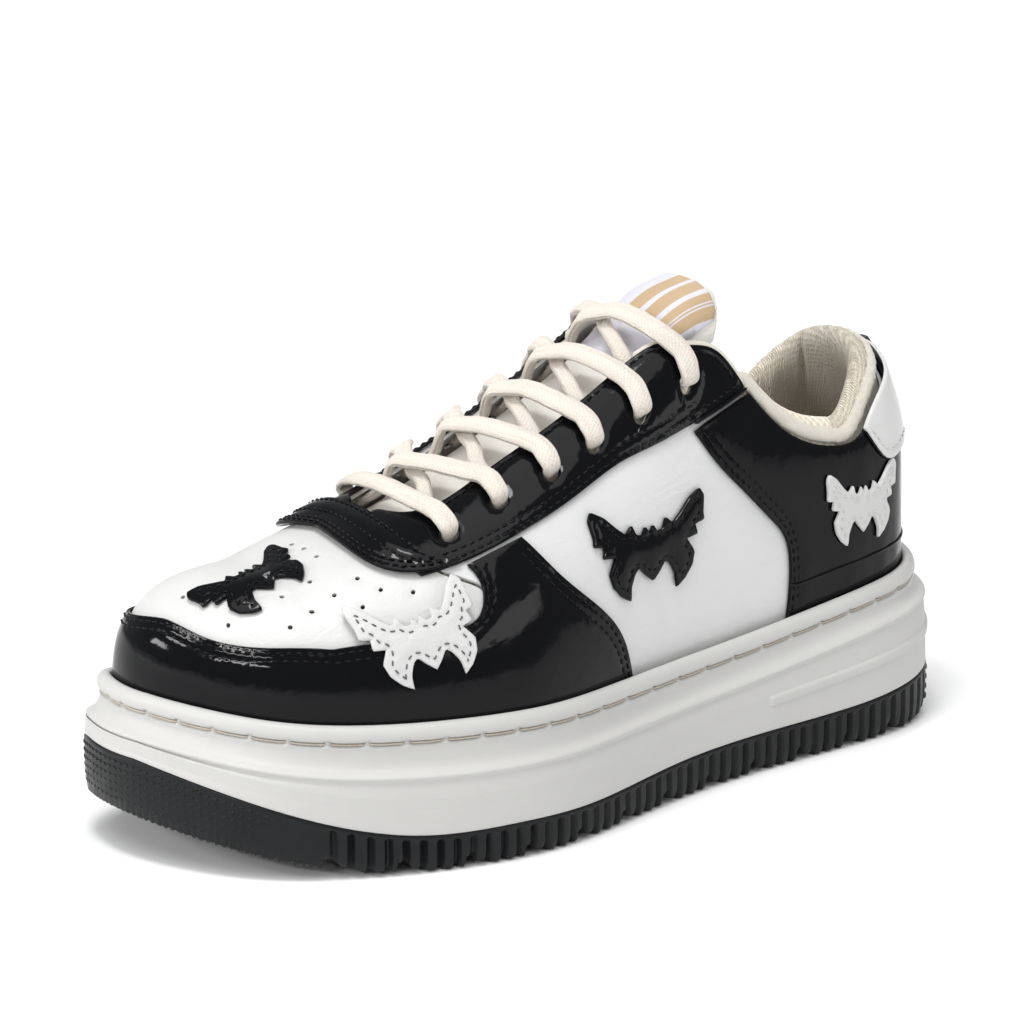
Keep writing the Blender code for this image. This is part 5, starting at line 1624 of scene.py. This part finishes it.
def butterfly(name, centre, half_span, turn, axes, guess, top, look, node, yarn, tall):
    """Generic jagged butterfly patch: thick edge, one stitch row inside its outline."""
    pts = np.array(list(WING) + [(-a, b) for a, b in WING[1:-1]][::-1])
    pts[:, 1] *= tall
    c = math.cos(math.radians(turn))
    s = math.sin(math.radians(turn))

    def placed(q):
        u = centre[0] + half_span * (q[:, 0] * c - q[:, 1] * s)
        v = centre[1] + half_span * (q[:, 0] * s + q[:, 1] * c)
        return solve_on(np.column_stack([u, v]), axes, guess)

    ring = spaced(np.vstack([pts, pts[:1]]), 1.1 / half_span)[:-1]
    outline = placed(ring)
    core = even(ring, 240)
    for _ in range(5):
        d = np.roll(core, -2, axis=0) - np.roll(core, 2, axis=0)
        d /= np.linalg.norm(d, axis=1)[:, None] + 1e-9
        core = core + np.column_stack([d[:, 1], -d[:, 0]]) * (0.4 / half_span)
        core = 0.25 * np.roll(core, 1, axis=0) + 0.5 * core + 0.25 * np.roll(core, -1, axis=0)
        core = even(core, 240)
    hem = distance_to(core, ring, True)[0] > 1.3 / half_span
    hem &= inside(core, ring)
    core = core[hem]
    gaps = np.hypot(*np.diff(core, axis=0).T)
    runs = [r for r in np.split(core, np.where(gaps > 2.5 / half_span)[0] + 1) if len(r) > 4]
    rows = [placed(r) for r in runs]
    panel(name, outline, top, look, node, skin=1.0, rows=rows, lattice=1.7, edge=0.4, dent=0.25,
          wave=0.06, wave_size=12, seed=int(half_span * 10), puff=0.35)
    stitches(name + "_thread", rows, top + 0.15, yarn, pitch=2.9, length=1.75, radius=0.24)


on_wall = [1, 2]
on_top = [0, 1]
butterfly("patch_toe", (0.5, -104.5), 17.0, 98, on_top, (6, -105), BASE_TOP + 1.6, PATENT_BLACK,
          "butterfly_toe", THREAD_BLACK, 0.8)
butterfly("patch_vamp", (-73.2, 68.0), 17.8, 10, on_wall, (55, -72), OVERLAY_TOP + 1.6, PATCH_WHITE,
          "butterfly_vamp", THREAD_GREY, 0.78)
butterfly("patch_quarter", (13, 79), 22.8, 0, on_wall, (76, 12), BASE_TOP + 1.6, PATENT_BLACK,
          "butterfly_quarter", THREAD_BLACK, 0.70)
butterfly("patch_heel", (100, 76), 15.5, 0, on_wall, (88, 108), OVERLAY_TOP + 1.6, PATCH_WHITE,
          "butterfly_heel", THREAD_WHITE, 0.88)


# ------------------------------------------------------------------ lace
def edge_x(y):
    """Where the eyestay's inner edge runs, out from the ridge."""
    return float(cubic(y, (-57, -50, -36, -15, 1, 18, 27, 36),
                       (17, 21, 22.5, 25.5, 28.5, 31.5, 34.5, 43)))


def at(side, x, y, off):
    """A lace point: pattern position on one side, with its height off the foot form."""
    if side < 0:
        x, y = inner_side([(x, y)])[0]
    return (x, y, off)


def through(side, k, down):
    """Round the edge of an eyelet from outside to inside, or back."""
    x, y = EYELETS[k]
    run = [
        at(side, x - 8.0, y, 2.6),
        at(side, x - 3.8, y, 3.0),
        at(side, x - 0.3, y, 1.8),
        at(side, x, y, EYELET_SEAT),
        at(side, x - 0.4, y, -4.0),
        at(side, x - 3.6, y, -4.95),
        at(side, x - 7.0, y + 0.6, -4.95),
    ]
    return run if down else run[::-1]


def strand(side, k, top):
    """From under eyelet k on one side, over the tongue, to outside eyelet k+1 opposite."""
    y0 = EYELETS[k][1]
    y1 = EYELETS[k + 1][1]
    middle = (y0 + y1) / 2
    high = 3.2 if top else -1.4
    e0 = edge_x(y0 + 2)
    e1 = edge_x(y1 - 3)
    return [
        at(side, e0 + 1.0, y0 + 2.2, -4.8),
        at(side, e0 - 7.5, y0 + 3.8, -3.6 if not top else -2.6),
        at(side, 8.0, middle - 2.0, high - 0.1),
        (0.0, middle, high),
        at(-side, 8.0, middle + 2.0, high + (0.1 if top else 0.9)),
        at(-side, e1 - 2.0, y1 - 3.0, 2.7),
    ]


def run_from(side):
    """One end of the lace, from the lowest eyelet on a side up to where it is tucked away."""
    pts = []
    here = side
    for k in range(5):
        pts += strand(here, k, here < 0)
        here = -here
        pts += through(here, k + 1, True)
    x, y = EYELETS[5]
    return pts + [at(here, x - 10.5, y - 0.6, -5.2), at(here, x - 14, y - 2.4, -5.6)]


def lace_fold(t, a):
    """Shallow lengthwise folds of a flat tubular lace, drifting along its run."""
    drift = 0.35 * math.sin(t * 0.045) + 0.2 * math.sin(t * 0.13 + 1.0)
    fold = math.exp(-((a - 1.57 - drift) / 0.30) ** 2)
    fold += 0.6 * math.exp(-((a - 2.2 + drift) / 0.2) ** 2)
    back = math.exp(-((a - 4.71 + drift) / 0.30) ** 2)
    return 1.0 - 0.17 * fold - 0.12 * back + 0.02 * math.sin(t * 0.9)


def build_lace():
    first = run_from(1)
    second = run_from(-1)
    bottom = [at(-1, 18, EYELETS[0][1] - 1.5, 2.5), (0.0, EYELETS[0][1] - 2.0, 2.3),
              at(1, 18, EYELETS[0][1] - 1.5, 2.5)]
    pat = np.array(second[::-1] + through(-1, 0, False) + bottom + through(1, 0, True) + first)
    core, up = laid(pat, pat[:, 2])
    depth = np.abs(pat[:, 2] - EYELET_SEAT)
    t = np.concatenate([[0], np.cumsum(np.linalg.norm(np.diff(core, axis=0), axis=1) ** 0.7)])
    fine = np.linspace(0, t[-1], 1500)
    q = np.column_stack([cubic(fine, t, core[:, i]) for i in range(3)])
    ups = picked(up, t, fine)
    open_run = np.interp(fine, t, np.clip((depth - 1.6) / 2.2, 0, 1))
    rope("lace_cord", q, ups, 2.25 + 1.05 * open_run, 1.6 - 0.25 * open_run, LACE_BRAID, 28, 2.7,
         replaces=("lace",), lump=lace_fold)


build_lace()


# ------------------------------------------------------------------ CAD nodes that stay
# the toe puff takes the near-black board, painted shade seen through the perforations
for name, look in (("midsole_wedge", FOAM), ("insole_board", BOARD), ("toe_puff", PUFF_SHADE_BOARD),
                   ("heel_counter", BOARD)):
    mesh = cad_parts[name].data
    mesh.materials.clear()
    mesh.materials.append(look)

# ------------------------------------------------------------------ floor, light, camera
scene = bpy.context.scene
floor_mesh = bpy.data.meshes.new("floor")
FLOOR_HALF = 6.0
floor_mesh.from_pydata([(FLOOR_HALF * x, FLOOR_HALF * y, 0)
                        for x, y in ((-1, -1), (1, -1), (1, 1), (-1, 1))], [], [(0, 1, 2, 3)])
floor = bpy.data.objects.new("floor", floor_mesh)
scene.collection.objects.link(floor)
floor_look = Look("floor_paper", (0.93, 0.93, 0.93), 0.9, Specular_IOR_Level=0.1)
floor_look.bump(floor_look.noise(floor_look.space, 300, 3), 0.0001, 0.2)
floor_mesh.materials.append(floor_look.mat)

world = bpy.data.worlds.new("studio")
world.use_nodes = True
sky = world.node_tree.nodes["Background"]
sky.inputs["Color"].default_value = (0.97, 0.98, 1.0, 1.0)
sky.inputs["Strength"].default_value = 0.32
scene.world = world


def softbox(name, at_point, target, width, height, watts):
    light = bpy.data.lights.new(name, "AREA")
    light.shape = "RECTANGLE"
    light.size = width
    light.size_y = height
    light.energy = watts
    obj = bpy.data.objects.new(name, light)
    obj.location = at_point
    obj.rotation_mode = "QUATERNION"
    obj.rotation_quaternion = (Vector(target) - Vector(at_point)).to_track_quat("-Z", "Y")
    scene.collection.objects.link(obj)


softbox("overhead", (0.15, -0.35, 1.5), (0, 0, 0.05), 0.45, 0.28, 8.0)
softbox("front_left", (-0.35, -1.5, 0.9), (0, 0, 0.06), 0.5, 0.16, 4.5)
softbox("front_key", (0.45, -1.2, 0.62), (0, -0.05, 0.06), 0.7, 0.06, 4.0)
softbox("toe_side", (-0.66, -1.3, 0.36), (0, -0.05, 0.06), 0.34, 0.16, 3.2)
softbox("side_fill", (1.8, 0.75, 0.75), (0, 0, 0.06), 1.1, 0.5, 4.5)
softbox("back_light", (-0.9, 1.1, 1.1), (0, 0, 0.08), 0.7, 0.5, 6.0)
sun = bpy.data.lights.new("sky_glow", "SUN")
sun.energy = 1.5
sun.angle = math.radians(60)
sun_obj = bpy.data.objects.new("sky_glow", sun)
sun_obj.rotation_euler = (math.radians(12), math.radians(14), 0)
scene.collection.objects.link(sun_obj)

camera = bpy.data.cameras.new("camera")
camera.lens = VIEW_LENS
camera.sensor_width = 36.0
camera.shift_x, camera.shift_y = VIEW_SHIFT
cam = bpy.data.objects.new("camera", camera)
turn = math.radians(VIEW_AZIMUTH)
rise = math.radians(VIEW_ELEVATION)
toward = Vector((math.sin(turn) * math.cos(rise), -math.cos(turn) * math.cos(rise), math.sin(rise)))
cam.location = Vector(VIEW_TARGET) + toward * VIEW_DISTANCE
cam.rotation_mode = "QUATERNION"
cam.rotation_quaternion = (-toward).to_track_quat("-Z", "Y")
scene.collection.objects.link(cam)
scene.camera = cam
scene.view_settings.view_transform = "Standard"
